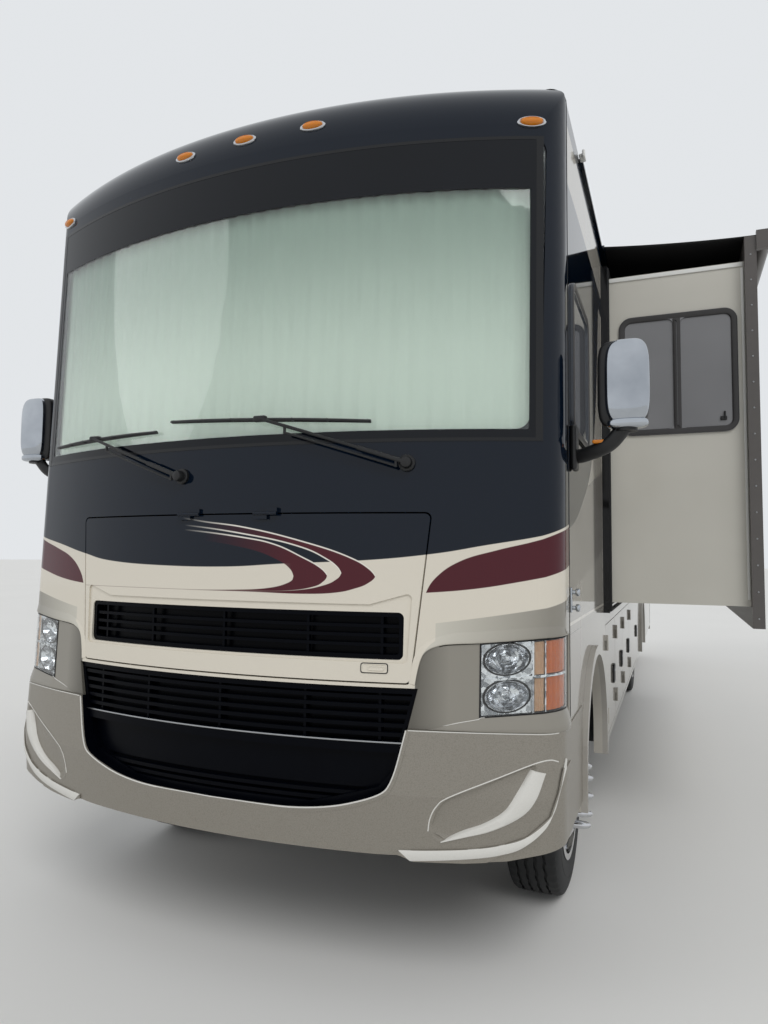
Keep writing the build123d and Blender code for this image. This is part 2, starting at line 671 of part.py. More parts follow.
# Floor with the rollers that carry the slide-out room
floor_low = floor_top - floor_thick
floor_half = half - wall - seat_gap
floor = block(-floor_half, floor_half, 60, rear_seam, floor_low, floor_top)
for y in (slide_y0 + 500, slide_y0 + 1500, slide_y1 - 1500, slide_y1 - 500):
    floor += rod_y(y - 90, y + 90, roller_in, floor_top + roller_r, roller_r)
    floor += block(roller_in - 13, roller_in + 13, y - 90, y + 90, floor_top - 5, floor_top + roller_r)
well_x = -760.0
floor -= block(-2000, well_x, entry_y0 - 20, entry_y1 + 20, 1000, 1400)
parts["floor"] = floor

# Stairwell inside the entry door, two treads below the floor
tread_1, tread_2, tread_x, step_t = 860.0, 1080.0, -1000.0, 20.0
in_x = -half + wall + seat_gap
well = [(in_x, tread_1), (tread_x, tread_1), (tread_x, tread_2), (well_x, tread_2), (well_x, floor_top)]
under = [(x + step_t, z - step_t) for x, z in reversed(well[1:])]
under[0] = (well_x + step_t, floor_low - seat_gap)
well[-1] = (well_x, floor_low - seat_gap)
outline = well + under + [(in_x, tread_1 - step_t)]
stairs = make_face(Polyline(*outline, close=True))
stairwell = Pos(0, entry_y1 + 20, 0) * extrude(Plane.XZ * stairs, entry_y1 - entry_y0 + 40)
for y0 in (entry_y0 - 20 - step_t, entry_y1 + 20):
    stairwell += block(in_x, well_x + step_t, y0, y0 + step_t, tread_1 - step_t, floor_low - seat_gap)
parts["entry_stairwell"] = stairwell

# Slide-out room
room = block(slide_in_x, slide_out_x, slide_y0, slide_y1, slide_z0, slide_z1)
room_y = (slide_y0 + slide_wall, slide_y1 - slide_wall)
room_z = (slide_z0 + slide_wall, slide_z1 - slide_wall)
room -= block(slide_in_x - 10, slide_out_x - slide_wall, *room_y, *room_z)
end_window = (1380.0, 2000.0, 2310.0, 3000.0, 70.0)
wide_windows = [(2000, 3200, 2310, 3000, 70), (3700, 4900, 2310, 3000, 70)]
room_panes = []
x0, x1, z0, z1, r = end_window
for y_face, turn in ((slide_y0, -1), (slide_y1, 1)):
    room -= front_plate(x0 + 25, x1 - 25, z0 + 25, z1 - 25, r - 20, y_face - 80, y_face + 80)
    o0, o1 = sorted((y_face + turn * seat_gap, y_face + turn * 10))
    i0, i1 = sorted((y_face - turn * 25, y_face + turn * 3))
    frame = front_plate(x0, x1, z0, z1, r, o0, o1)
    frame += front_plate(x0 + 28, x1 - 28, z0 + 28, z1 - 28, r - 23, i0, i1)
    f0, f1 = sorted((y_face + turn * 3, y_face + turn * 20))
    for a, b in ((x0 + 30, (x0 + x1) / 2 - 18), ((x0 + x1) / 2 + 18, x1 - 30)):
        frame -= front_plate(a, b, z0 + 30, z1 - 30, 34, f0, f1)
    room_panes.append(frame)
for y0, y1, z0, z1, r in wide_windows:
    room -= side_plate(y0 + 25, y1 - 25, z0 + 25, z1 - 25, r - 20, slide_out_x - 80, slide_out_x + 80)
    frame = side_plate(y0, y1, z0, z1, r, slide_out_x + seat_gap, slide_out_x + 10)
    frame += side_plate(y0 + 28, y1 - 28, z0 + 28, z1 - 28, r - 23, slide_out_x - 25, slide_out_x + 3)
    room_panes.append(frame)
parts["slide_room"] = room
parts["slide_windows"] = Compound(children=[p.solids()[0] for p in room_panes])

flange_x = slide_out_x + seat_gap
flange_y = (slide_y0 - flange_side, slide_y1 + flange_side)
flange_hole = (slide_y0 + 40, slide_y1 - 40, slide_z0 + 30, slide_z1 - 30)
flange = block(flange_x, flange_x + flange_t, *flange_y, flange_z0, flange_z1)
flange -= block(flange_x - 5, flange_x + flange_t + 5, *flange_hole)
roller_x, roller_z = 2140.0, 3340.0
topper_roller = rod_y(slide_y0 - 70, slide_y1 + 70, roller_x, roller_z, 34)
for y in (slide_y0 - 78, slide_y1 + 48):
    topper_roller += block(flange_x + flange_t - 1, roller_x + 38, y, y + 30, roller_z - 60, roller_z + 44)
parts["slide_trim"] = flange + topper_roller

topper_in = (half + seat_gap, 3436.0)
topper_mid = (flange_x + flange_t / 2, flange_z1 + 14)
topper_out = (roller_x, roller_z + 34 + seat_gap)
topper_t = 3.0
gutter_out = 15.0
pts = [topper_in, topper_mid, topper_out]
sheet = make_face(Polyline(*pts, *[(x, z + topper_t) for x, z in reversed(pts)], close=True))
topper = Pos(0, slide_y1 + 30, 0) * extrude(Plane.XZ * sheet, slide_y1 - slide_y0 + 60)
parts["slide_topper"] = topper
rail_top = topper_in[1] - 4
topper_ends = (slide_y0 - 60, slide_y1 + 60)
parts["roof"] += block(half - 4, half + 26, *topper_ends, rail_top - 16, rail_top)
gutter_ends = (470.0, rear_seam - 20)
for y0, y1 in ((gutter_ends[0], topper_ends[0]), (topper_ends[1], gutter_ends[1])):
    parts["roof"] += block(half - 4, half + gutter_out, y0, y1, rail_top - 16, rail_top)
parts["roof"] += block(-half - gutter_out, 4 - half, *gutter_ends, rail_top - 16, rail_top)

# Storage bays hang below the floor behind the doors
bays = []
for side, rows in ((1, [(1540, 5340)]), (-1, [(2520, 5340)])):
    for y0, y1 in rows:
        x1 = half - wall - seat_gap
        x0 = x1 - bay_depth
        top = floor_low - seat_gap
        tub = block(x0, x1, y0, y1, door_z0 - 10, top)
        tub -= block(x0 + bay_wall, x1 + 5, y0 + bay_wall, y1 - bay_wall, door_z0 + 10, top - bay_wall)
        bays.append(tub if side > 0 else mirror(tub, Plane.YZ))
parts["storage_bays"] = Compound(children=[b.solids()[0] for b in bays])

# Chassis
frame_parts = []
for side in (-1, 1):
    rail = block(rail_x - rail_w / 2, rail_x + rail_w / 2, rail_front, rail_rear, rail_z0, rail_z1)
    web_x = rail_x + rail_w / 2 - 10
    rail -= block(rail_x - rail_w / 2 - 5, web_x, rail_front - 5, rail_rear + 5, rail_z0 + 10, rail_z1 - 10)
    frame_parts.append(rail if side > 0 else mirror(rail, Plane.YZ))
for y in (-200, 1500, 3000, 4500, 6000, 7400, 8800, 9820):
    frame_parts.append(block(-rail_x - 35, rail_x + 35, y, y + 80, rail_z0 + 40, rail_z1 - 40))
for y in (1900, 3300, 4700, 5900, 7500, 8700, 9700):
    frame_parts.append(block(-rail_x - 35, rail_x + 35, y, y + 60, rail_z1 - 5, floor_low - seat_gap))
for y in (100, 700, 1300):
    post = block(rail_x - 35, rail_x + 35, y, y + 60, rail_z1 - 5, floor_low - seat_gap)
    frame_parts += both(post)
horn = block(rail_x - 30, rail_x + 30, rail_front - 300, rail_front + 60, rail_z0 - 100, rail_z0 - 30)
horn = horn & bumper_form(bumper_wall + seat_gap)
horn += block(rail_x - 30, rail_x + 30, rail_front, rail_front + 60, rail_z0 - 60, rail_z0 + 10)
frame_parts += both(horn)
receiver_z = 430.0
receiver_in = 25.4
receiver_out = 32.0
receiver_top = receiver_z + receiver_out
receiver = block(-receiver_out, receiver_out, 9700, 10330, receiver_z - receiver_out, receiver_top)
hitch = receiver + block(-500, 500, 9760, 9820, receiver_z + receiver_out - 5, receiver_z + receiver_out + 60)
for drop in both(block(rail_x - 20, rail_x + 20, 9740, 9840, receiver_z + receiver_out, rail_z0 - seat_gap)):
    hitch += drop
step = block(-half + 80, -half + 440, entry_y0 + 60, entry_y1 - 60, 470, 500)
arm_rows = (entry_y0 + 120, entry_y1 - 160)
step_arm = [block(-half + 300, -rail_x, y, y + 40, 500 - 5, 545) for y in arm_rows]
step_post = [block(-rail_x - 30, -rail_x + 10, y, y + 40, 500, rail_z0 + 5) for y in arm_rows]
chassis = fuse(frame_parts + [step] + step_arm + step_post)
parts["chassis_frame"] = chassis
hitch_pin_y = 10262.0
hitch_pin_r = 8.0
hitch -= block(-receiver_in, receiver_in, 9715, 10400, receiver_z - receiver_in, receiver_z + receiver_in)
hitch -= rod_x(-100, 100, hitch_pin_y, receiver_z, hitch_pin_r)
parts["hitch_receiver"] = hitch

engine = block(-330, 330, -20, 900, 640, 1190)
engine = fillet(engine.edges().filter_by(Axis.Z), 40)
engine += [block(s * 300, s * 420, 330, 450, rail_z1 + seat_gap, rail_z1 + 40) if s > 0 else
           block(-420, -300, 330, 450, rail_z1 + seat_gap, rail_z1 + 40) for s in (-1, 1)]
parts["engine_block"] = engine

tank = block(-370, 370, 7650, 8650, 470, 690)
tank = fillet(tank.edges().filter_by(Axis.Y), 60)
for y in (7850, 8420):
    for strap in both(block(340, 420, y, y + 40, rail_z0 - 60, rail_z0 - seat_gap)):
        tank += strap
parts["fuel_tank"] = tank

pipe_x, pipe_z, pipe_r = -250.0, 600.0, 38.0
tail_x, tail_z, tail_end = -600.0, 420.0, 10240.0
front_run = Polyline(
    (pipe_x, 950, pipe_z), (pipe_x, 7250, pipe_z), (tail_x, 7600, 560), (tail_x, 9000, 540),
    (tail_x, 9350, 480))
rear_run = FilletPolyline((tail_x, 9350, 480), (tail_x, 9700, tail_z), (tail_x, tail_end, tail_z), radius=110)
pipe_face = Plane(front_run @ 0, z_dir=front_run % 0) * Circle(pipe_r)
exhaust = sweep(pipe_face, path=front_run, transition=Transition.RIGHT)
exhaust += sweep(Plane(rear_run @ 0, z_dir=rear_run % 0) * Circle(pipe_r), path=rear_run)
exhaust += rod_y(3500, 4400, pipe_x, pipe_z, 110)
for y in (1010, 1515, 3015, 4515, 6015):
    exhaust += block(pipe_x - 5, pipe_x + 5, y, y + 50, pipe_z + 30, rail_z0 + 40 - seat_gap)
exhaust -= rod_y(9900, tail_end + 60, tail_x, tail_z, 34)
parts["exhaust_pipe"] = exhaust

# Axles and springs


def leaf_spring(x, y, z_mid, z_end, length):
    """Bowed leaf pack with its two hangers up to the rail."""
    a = ThreePointArc((y - length / 2, z_end), (y, z_mid), (y + length / 2, z_end))
    b = ThreePointArc((y + length / 2, z_end + 40), (y, z_mid + 40), (y - length / 2, z_end + 40))
    band = make_face([a, Line(a @ 1, b @ 0), b, Line(b @ 1, a @ 0)])
    pack = Pos(x - 38, 0, 0) * extrude(Plane.YZ * band, 76)
    for e in (y - length / 2 + 12, y + length / 2 - 12):
        pack += block(x - 34, x + 34, e - 24, e + 24, z_end, rail_z0 - seat_gap)
    return pack


beam_parts = []
beam_pts = [(-kingpin_x, 435), (-640, 435), (-520, 350), (520, 350), (640, 435), (kingpin_x, 435),
            (kingpin_x, 485), (620, 485), (500, 410), (-500, 410), (-620, 485), (-kingpin_x, 485)]
beam_parts.append(front_shape(beam_pts, front_axle_y - 42, front_axle_y + 42))
for s in (-1, 1):
    beam_parts.append(rod_z(axle_z - 60, axle_z + 60, s * kingpin_x, front_axle_y, 48))
    spring = leaf_spring(s * 440, front_axle_y, 408, 560, 1250)
    beam_parts.append(spring)
beam = fuse(beam_parts)
for s in (-1, 1):
    beam -= rod_z(axle_z - 200, axle_z + 200, s * kingpin_x, front_axle_y, 19 + pin_gap)
parts["front_axle"] = beam

rear_parts = [rod_x(-1150, 1150, rear_axle_y, axle_z, 46), rod_x(-600, 600, rear_axle_y, axle_z, 72)]
bowl = turned([(-60, 0), (-60, 115), (-5, 185), (125, 185), (180, 115), (180, 0)])
rear_parts.append(Pos(0, rear_axle_y, axle_z) * bowl)
rear_parts.append(rod_y(rear_axle_y - 320, rear_axle_y, 0, axle_z + 20, 80))
for s in (-1, 1):
    rear_parts.append(leaf_spring(s * 480, rear_axle_y, axle_z + 60, 640, 1400))
parts["rear_axle"] = fuse(rear_parts)
shaft_path = Line((0, 900.5, 690), (0, rear_axle_y - 320.5, axle_z + 20))
shaft = sweep(Plane(shaft_path @ 0, z_dir=shaft_path % 0) * Circle(45), path=shaft_path)
parts["driveshaft"] = shaft - engine - block(-300, 300, rear_axle_y - 320.5, rear_axle_y, 300, 700)


# Knuckles with kingpin, yoke, spindle and steering arm
arm_z = axle_z - arm_drop


def knuckle():
    k = rod_z(axle_z - 108, axle_z - 61, kingpin_x, front_axle_y, 46)
    k += rod_z(axle_z + 61, axle_z + 108, kingpin_x, front_axle_y, 46)
    k += rod_z(axle_z - 105, axle_z + 105, kingpin_x, front_axle_y, 19)
    plate_y = (front_axle_y - 60, front_axle_y + 60)
    k += block(kingpin_x + 54, kingpin_x + 78, *plate_y, axle_z - 108, axle_z + 108)
    for z0 in (axle_z - 108, axle_z + 61):
        k += block(kingpin_x, kingpin_x + 60, front_axle_y - 40, front_axle_y + 40, z0, z0 + 47)
    k += rod_x(kingpin_x + 70, front_wheel_x + 130, front_axle_y, axle_z, 36)
    y = front_axle_y + arm_back
    tapered = [(-34, front_axle_y), (34, front_axle_y), (22, y), (-22, y)]
    bar = make_face(Polyline(*[(kingpin_x + x, y) for x, y in tapered], close=True))
    k += Pos(0, 0, arm_z) * extrude(bar, arm_t)
    k += rod_z(arm_z, axle_z - 100, kingpin_x, front_axle_y, 40)
    k += rod_z(arm_z, arm_z + arm_t, kingpin_x, y, 26) + rod_z(arm_z + 20, arm_z + 78, kingpin_x, y, 12)
    return k


parts["knuckle_left"] = knuckle()
parts["knuckle_right"] = mirror(knuckle(), Plane.YZ)
tie_x = kingpin_x
tie_y = front_axle_y + arm_back
tie_z0 = arm_z + arm_t + 1
tie = rod_x(-tie_x, tie_x, tie_y, tie_z0 + 20, 17)
for s in (-1, 1):
    tie += rod_z(tie_z0, tie_z0 + 40, s * tie_x, tie_y, 27)
for s in (-1, 1):
    tie -= rod_z(tie_z0 - 10, tie_z0 + 60, s * tie_x, tie_y, 12 + pin_gap)
parts["tie_rod"] = tie


# Wheels, turned about X at the origin with the outer side at +X
def tyre_solid():
    side, crown, bulge_z = tyre_w / 2, tyre_r, 350
    right = [(side - 18, rim_r), (side, bulge_z), (side - 9, crown - 28), (side - 34, crown)]
    return turned(right + [(-x, z) for x, z in reversed(right)])


lip_x = tyre_w / 2 - 18
barrel_r = rim_r - seat_gap


def barrel_solid():
    """Rim barrel whose lips stand outside the tyre's beads."""
    lip_0, lip_1 = lip_x + 6.5, lip_x + 16
    right = [(lip_0, barrel_r), (lip_0, barrel_r + 14), (lip_1, barrel_r + 14), (lip_1, barrel_r - 14)]
    return turned(right + [(-x, z) for x, z in reversed(right)])


def rim_solid(disc_x, hub_out, hub_in, bore_end):
    """Barrel with bead lips, domed disc with hand holes, and the hub; disc_x is the disc's place."""
    inside = [(disc_x, 60), (disc_x, 175), (disc_x - 30, 225), (disc_x - 50, barrel_r - 8)]
    disc = turned(inside + [(x + disc_t, r) for x, r in reversed(inside)])
    for n in range(hand_holes):
        a = 2 * math.pi * n / hand_holes
        disc -= rod_x(disc_x - 60, disc_x + 60, 208 * math.cos(a), 208 * math.sin(a), 23)
    hub = turned([(hub_in, 36 + pin_gap), (hub_in, 92), (disc_x + 20, 92), (hub_out, 66), (hub_out, 0),
                  (bore_end, 0), (bore_end, 36 + pin_gap)])
    return fuse([barrel_solid(), disc, hub])


hand_holes = 6
disc_t = 14.0
front_rim = rim_solid(122, 198, -70, 136)
at_front = Pos(front_wheel_x, front_axle_y, axle_z)
tyre = tyre_solid()
parts["tyre_front_left"] = at_front * tyre
parts["tyre_front_right"] = mirror(at_front * tyre, Plane.YZ)
parts["rim_front_left"] = at_front * front_rim
parts["rim_front_right"] = mirror(at_front * front_rim, Plane.YZ)

# Rear twins share one hub between two rims
twin = (rear_outer_x, rear_inner_x)
hub_x = sum(twin) / 2
rear_tyres = [Pos(x, rear_axle_y, axle_z) * tyre for x in twin]
disc_x0, disc_x1 = hub_x - 14, hub_x + 14
web_x0, web_x1 = rear_inner_x + lip_x, rear_outer_x - lip_x
disc = turned([(disc_x0, 60), (disc_x0, 190), (web_x0, 255), (web_x0, barrel_r - 8),
               (web_x1, barrel_r - 8), (web_x1, 255), (disc_x1, 190), (disc_x1, 60)])
hub_in, hub_end = rear_inner_x - 60, rear_outer_x + 112
hub = turned([(hub_in, 46 + pin_gap), (hub_in, 96), (rear_outer_x + 60, 96), (hub_end, 70), (hub_end, 0),
              (hub_end - 12, 0), (hub_end - 12, 46 + pin_gap)])
rear_rim = fuse([Pos(x, 0, 0) * barrel_solid() for x in twin] + [disc, hub])
at_rear = Pos(0, rear_axle_y, axle_z)
parts["tyres_rear_left"] = Compound(children=rear_tyres)
parts["tyres_rear_right"] = Compound(children=[mirror(t, Plane.YZ) for t in rear_tyres])
parts["rims_rear_left"] = at_rear * rear_rim
parts["rims_rear_right"] = mirror(at_rear * rear_rim, Plane.YZ)

# The origin goes to the middle of the whole, on the ground
boxes = [p.bounding_box() for p in parts.values()]
mid_x = (min(b.min.X for b in boxes) + max(b.max.X for b in boxes)) / 2
mid_y = (min(b.min.Y for b in boxes) + max(b.max.Y for b in boxes)) / 2
low_z = min(b.min.Z for b in boxes)
shift = Pos(-mid_x, -mid_y, -low_z)
if __name__ == "__main__":
    for name, part in parts.items():
        export_step(shift * part, f"parts/{name}.step")
    print("shift", -mid_x, -mid_y, -low_z)
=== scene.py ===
import json
import math

import bmesh
import bpy
from mathutils import Matrix, Vector


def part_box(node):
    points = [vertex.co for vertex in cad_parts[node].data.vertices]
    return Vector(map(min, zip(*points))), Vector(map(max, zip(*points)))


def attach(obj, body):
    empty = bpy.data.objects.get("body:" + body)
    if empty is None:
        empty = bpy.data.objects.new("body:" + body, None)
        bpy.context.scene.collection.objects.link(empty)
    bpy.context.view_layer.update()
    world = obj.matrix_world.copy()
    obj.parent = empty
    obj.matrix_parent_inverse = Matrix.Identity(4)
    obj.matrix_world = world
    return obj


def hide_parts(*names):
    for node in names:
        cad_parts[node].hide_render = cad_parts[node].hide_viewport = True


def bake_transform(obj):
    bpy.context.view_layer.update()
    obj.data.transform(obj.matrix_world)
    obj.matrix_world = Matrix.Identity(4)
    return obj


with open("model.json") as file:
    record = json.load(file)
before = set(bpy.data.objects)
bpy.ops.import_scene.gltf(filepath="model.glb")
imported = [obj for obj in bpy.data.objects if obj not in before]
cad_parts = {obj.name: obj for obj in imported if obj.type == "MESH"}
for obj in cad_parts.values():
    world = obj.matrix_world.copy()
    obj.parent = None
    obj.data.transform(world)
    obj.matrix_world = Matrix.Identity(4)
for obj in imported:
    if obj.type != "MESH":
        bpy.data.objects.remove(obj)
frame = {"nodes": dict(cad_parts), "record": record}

nodes = frame["nodes"]
scene = bpy.context.scene
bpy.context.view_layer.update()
print("frame loaded:", len(nodes), "nodes")

# Places are worked out from the frame, so that they follow the parts if model.glb changes
capLow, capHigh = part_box("front_cap")
middleX = (capLow.x + capHigh.x) / 2
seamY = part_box("roof")[0].y - 0.030          # y of the vehicle's own zero, just ahead of the walls
halfWidth = (capHigh.x - capLow.x) / 2
mm = 0.001


def at(x, y, z):
    return Vector((middleX + x, seamY + y, z))


bow = {"radius": 3.300, "topY": -0.330, "topZ": 3.230, "lowY": -0.420, "lowZ": 0.950, "corner": 0.130}


def noseY(z):
    slope = (bow["lowY"] - bow["topY"]) / (bow["lowZ"] - bow["topZ"])
    return bow["topY"] + (z - bow["topZ"]) * slope


def onBow(x, z, out):
    # a point on the bowed front, out metres proud of it
    radius = bow["radius"] + out
    return at(x, noseY(z) + bow["radius"] - math.sqrt(radius ** 2 - x ** 2), z)


def alongTo(x, half=halfWidth):
    # how far round the plan outline an x lies, from the middle line
    bend = math.asin((half - bow["corner"]) / (bow["radius"] - bow["corner"]))
    reach = abs(x)
    if reach < bow["radius"] * math.sin(bend):
        return math.copysign(bow["radius"] * math.asin(reach / bow["radius"]), x)
    turn = math.asin(min(1.0, (reach - half + bow["corner"]) / bow["corner"]))
    return math.copysign(bow["radius"] * bend + bow["corner"] * (turn - bend), x)


def onPlan(along, frontY, z, out=0.0, half=halfWidth):
    # a point of the outline: bow, round corner, then straight back down the side
    r, c = bow["radius"], bow["corner"]
    bend = math.asin((half - c) / (r - c))
    far = abs(along)
    past = max(0.0, far - r * bend - c * (math.pi / 2 - bend))
    if far < r * bend:
        turn, x0, y0 = far / r, 0.0, frontY + r
    else:
        turn = min(bend + (far - r * bend) / c, math.pi / 2)
        x0, y0, r = half - c, frontY + r - (r - c) * math.cos(bend), c
    return at(math.copysign(x0 + (r + out) * math.sin(turn), along), y0 - (r + out) * math.cos(turn) + past,
              z)


def onCap(x, z, out):
    return onPlan(alongTo(x), noseY(z), z, out)


# height of each row, how far it stands out of the cap, and how much wider it is
bumperRows = [(0.425, 0.0, 0.0), (0.760, 0.030, 0.004), (0.985, 0.016, 0.004)]


def onBumper(x, z, out):
    low, high = bumperRows[:2] if z < bumperRows[1][0] else bumperRows[1:]
    t = (z - low[0]) / (high[0] - low[0])
    swell, wider = (low[i] + (high[i] - low[i]) * t for i in (1, 2))
    half = halfWidth + wider
    return onPlan(alongTo(x, half), noseY(bumperRows[2][0]) - swell, z, out, half)


# Colours are sRGB hex, as a paint chart gives them

def tint(hexCode):
    channels = [int(hexCode[i:i + 2], 16) / 255 for i in (1, 3, 5)]
    linear = [c / 12.92 if c <= 0.04045 else ((c + 0.055) / 1.055) ** 2.4 for c in channels]
    return (*linear, 1.0)


def addNode(tree, kind, settings=None, links=None):
    # a link's source is a socket, or a node whose first output is meant
    node = tree.nodes.new(kind)
    for name, value in (settings or {}).items():
        if isinstance(name, str) and hasattr(node, name):
            setattr(node, name, value)
        else:
            node.inputs[name].default_value = value
    for socket, source in (links or {}).items():
        tree.links.new(getattr(source, "outputs", [source])[0], node.inputs[socket])
    return node


def newMaterial(name, settings):
    material = bpy.data.materials.new(name)
    material.use_nodes = True
    tree = material.node_tree
    shader = tree.nodes["Principled BSDF"]
    for socket, value in settings.items():
        shader.inputs[socket].default_value = value
    return material, tree, shader


def paintPlace(tree):
    # x from the middle line, y from the seam, z from the ground, and the unsigned x
    place = addNode(tree, "ShaderNodeTexCoord").outputs["Object"]
    shifted = addNode(tree, "ShaderNodeVectorMath", {"operation": "SUBTRACT", 1: (middleX, seamY, 0.0)},
                      {0: place})
    parts = addNode(tree, "ShaderNodeSeparateXYZ", None, {0: shifted})
    side = addNode(tree, "ShaderNodeMath", {"operation": "ABSOLUTE"}, {0: parts.outputs["X"]})
    return {"x": parts.outputs["X"], "y": parts.outputs["Y"], "z": parts.outputs["Z"],
            "side": side, "vector": shifted}


softEdge = 1.2 * mm      # half the way over which one colour passes into the next


def above(tree, across, height, points):
    # 1 where height lies over the smooth line through points, 0 under it
    xs = [p[0] for p in points]
    zs = [p[1] for p in points]
    low, high = min(zs) - 0.02, max(zs) + 0.02
    share = addNode(tree, "ShaderNodeMapRange", {"From Min": xs[0], "From Max": xs[-1]}, {0: across})
    curve = addNode(tree, "ShaderNodeFloatCurve", None, {1: share})
    line = curve.mapping.curves[0]
    for i, (x, z) in enumerate(points):
        spot = ((x - xs[0]) / (xs[-1] - xs[0]), (z - low) / (high - low))
        if i in (0, len(points) - 1):
            line.points[0 if i == 0 else -1].location = spot
        else:
            line.points.new(*spot)
    curve.mapping.update()
    edge = addNode(tree, "ShaderNodeMapRange", {"To Min": low, "To Max": high}, {0: curve})
    gap = addNode(tree, "ShaderNodeMath", {"operation": "SUBTRACT"}, {0: height, 1: edge})
    return addNode(tree, "ShaderNodeMapRange", {"From Min": -softEdge, "From Max": softEdge}, {0: gap})


def between(tree, upper, lower):
    # what lies over the lower line and not over the upper one
    return addNode(tree, "ShaderNodeMath", {"operation": "SUBTRACT", "use_clamp": True}, {0: lower, 1: upper})


def layer(tree, under, mask, over):
    # one colour over another where the mask is 1; each is a hex code or a socket
    settings, links = {"data_type": "RGBA"}, {0: mask}
    for socket, colour in ((6, under), (7, over)):
        if isinstance(colour, str):
            settings[socket] = tint(colour)
        else:
            links[socket] = colour
    return addNode(tree, "ShaderNodeMix", settings, links).outputs[2]


def mottled(tree, place, low, high, sizeMm, detail=2.0):
    # two close tones in cloudy patches of a real size
    cloud = addNode(tree, "ShaderNodeTexNoise", {"Scale": 1 / (sizeMm * mm), "Detail": detail},
                    {"Vector": place["vector"]})
    return layer(tree, low, cloud, high)


def raised(tree, shader, height, depthMm, strength):
    bump = addNode(tree, "ShaderNodeBump", {"Strength": strength, "Distance": depthMm * mm},
                   {"Height": height})
    tree.links.new(bump.outputs[0], shader.inputs["Normal"])


def rippled(tree, shader, place, waveMm, depth, strength=0.1):
    # fine unevenness: waveMm is the real distance from crest to crest
    wave = addNode(tree, "ShaderNodeTexNoise", {"Scale": 1 / (waveMm * mm)}, {"Vector": place["vector"]})
    raised(tree, shader, wave, depth, strength)


dust = {"colour": "#8d877b", "top": 1.1, "low": 0.3, "most": 0.28, "spots": 90 * mm}


def dusted(tree, place, colour):
    # road dust, thickest near the ground
    rise = addNode(tree, "ShaderNodeMapRange",
                   {"From Min": dust["top"], "From Max": dust["low"], "To Max": dust["most"]},
                   {0: place["z"]})
    spots = addNode(tree, "ShaderNodeTexNoise", {"Scale": 1 / dust["spots"], "Detail": 5.0},
                    {"Vector": place["vector"]})
    amount = addNode(tree, "ShaderNodeMath", {"operation": "MULTIPLY"}, {0: rise, 1: spots})
    return layer(tree, colour, amount, dust["colour"])


paint = {
    "black": "#05101e", "cream": "#dad3c5", "burgundy": "#4a121d", "pinstripe": "#e9e4da",
    # the recess colour is painted shade: darkest at the recess's inner edge
    "taupe": "#8f8b82", "bandPale": "#cbc7bb", "recessShade": "#625f58",      # round the lamps
    "silver": "#a5a19a", "wallPale": "#b9b4aa", "wallDark": "#8e8a84",
    "orangePeel": (9.0, 0.05),      # mm from crest to crest, mm deep
}
gloss = {"Roughness": 0.06, "IOR": 1.38}

# Edges of the paint on the front, as x from the middle line and z
blackEdge = [(-1.300, 1.712), (-1.222, 1.686), (-1.017, 1.647), (-0.818, 1.606), (-0.600, 1.572),
             (-0.300, 1.558), (0.000, 1.557), (0.264, 1.572), (0.581, 1.588), (0.818, 1.612), (1.017, 1.647),
             (1.222, 1.686), (1.300, 1.712)]
swooshTop = [(0.813, 1.470), (0.850, 1.530), (0.933, 1.589), (1.059, 1.630), (1.182, 1.662), (1.300, 1.700)]
swooshLow = [(0.813, 1.472), (0.977, 1.488), (1.142, 1.517), (1.300, 1.552)]
pocketTop = [(0.780, 1.110), (0.790, 1.190), (0.803, 1.238), (0.819, 1.261), (0.845, 1.276), (0.884, 1.2865),
             (1.012, 1.2955), (1.139, 1.3075), (1.300, 1.322)]
innerEdge = [(0.90, 0.735), (1.10, 0.774), (1.20, 0.792), (1.25, 0.808), (1.30, 0.850)]      # z and x
creamLow = [(0.760, 1.340), (0.802, 1.354), (0.936, 1.375), (1.060, 1.394), (1.223, 1.422), (1.300, 1.436)]


def capPaint():
    # polyester gelcoat, sprayed in a mould and polished: deep gloss with a faint orange peel
    material, tree, shader = newMaterial("gelcoatFrontCap", gloss)
    place = paintPlace(tree)
    # every line climbs a little as it turns the corner
    corner = addNode(tree, "ShaderNodeMapRange", {"From Min": -0.16, "From Max": 0.03, "To Max": 0.030},
                     {0: place["y"]})
    height = addNode(tree, "ShaderNodeMath", {"operation": "SUBTRACT"}, {0: place["z"], 1: corner})
    # the taupe fades: pale over the recess, full at the corner, and darker at the recess's inner edge, where
    # painted shade stands for the shadow in the recess
    fade = addNode(tree, "ShaderNodeMapRange", {"From Min": 0.84, "From Max": 1.24}, {0: place["side"]})
    band = layer(tree, paint["bandPale"], fade, paint["taupe"])
    # painted shade: darkest at the recess's inner edge, fading to taupe towards the lamp
    deep = addNode(tree, "ShaderNodeMapRange", {"From Min": 0.775, "From Max": 0.90}, {0: place["side"]})
    recessShade = layer(tree, paint["recessShade"], deep, paint["taupe"])
    overLamp = above(tree, place["side"], place["z"], pocketTop)
    colour = layer(tree, recessShade, overLamp, band)
    cream = above(tree, place["side"], height, creamLow)
    inner = above(tree, place["z"], place["side"], innerEdge)
    strip = addNode(tree, "ShaderNodeMath", {"operation": "SUBTRACT", 0: 1.0}, {1: inner})
    creamAll = addNode(tree, "ShaderNodeMath", {"operation": "MAXIMUM"}, {0: cream, 1: strip})
    colour = layer(tree, colour, creamAll, paint["cream"])
    top = above(tree, place["side"], height, swooshTop)
    low = above(tree, place["side"], height, swooshLow)
    colour = layer(tree, colour, between(tree, top, low), paint["burgundy"])
    black = above(tree, place["x"], height, blackEdge)
    colour = layer(tree, colour, black, paint["black"])
    tree.links.new(dusted(tree, place, colour), shader.inputs["Base Color"])
    rippled(tree, shader, place, *paint["orangePeel"])
    return material


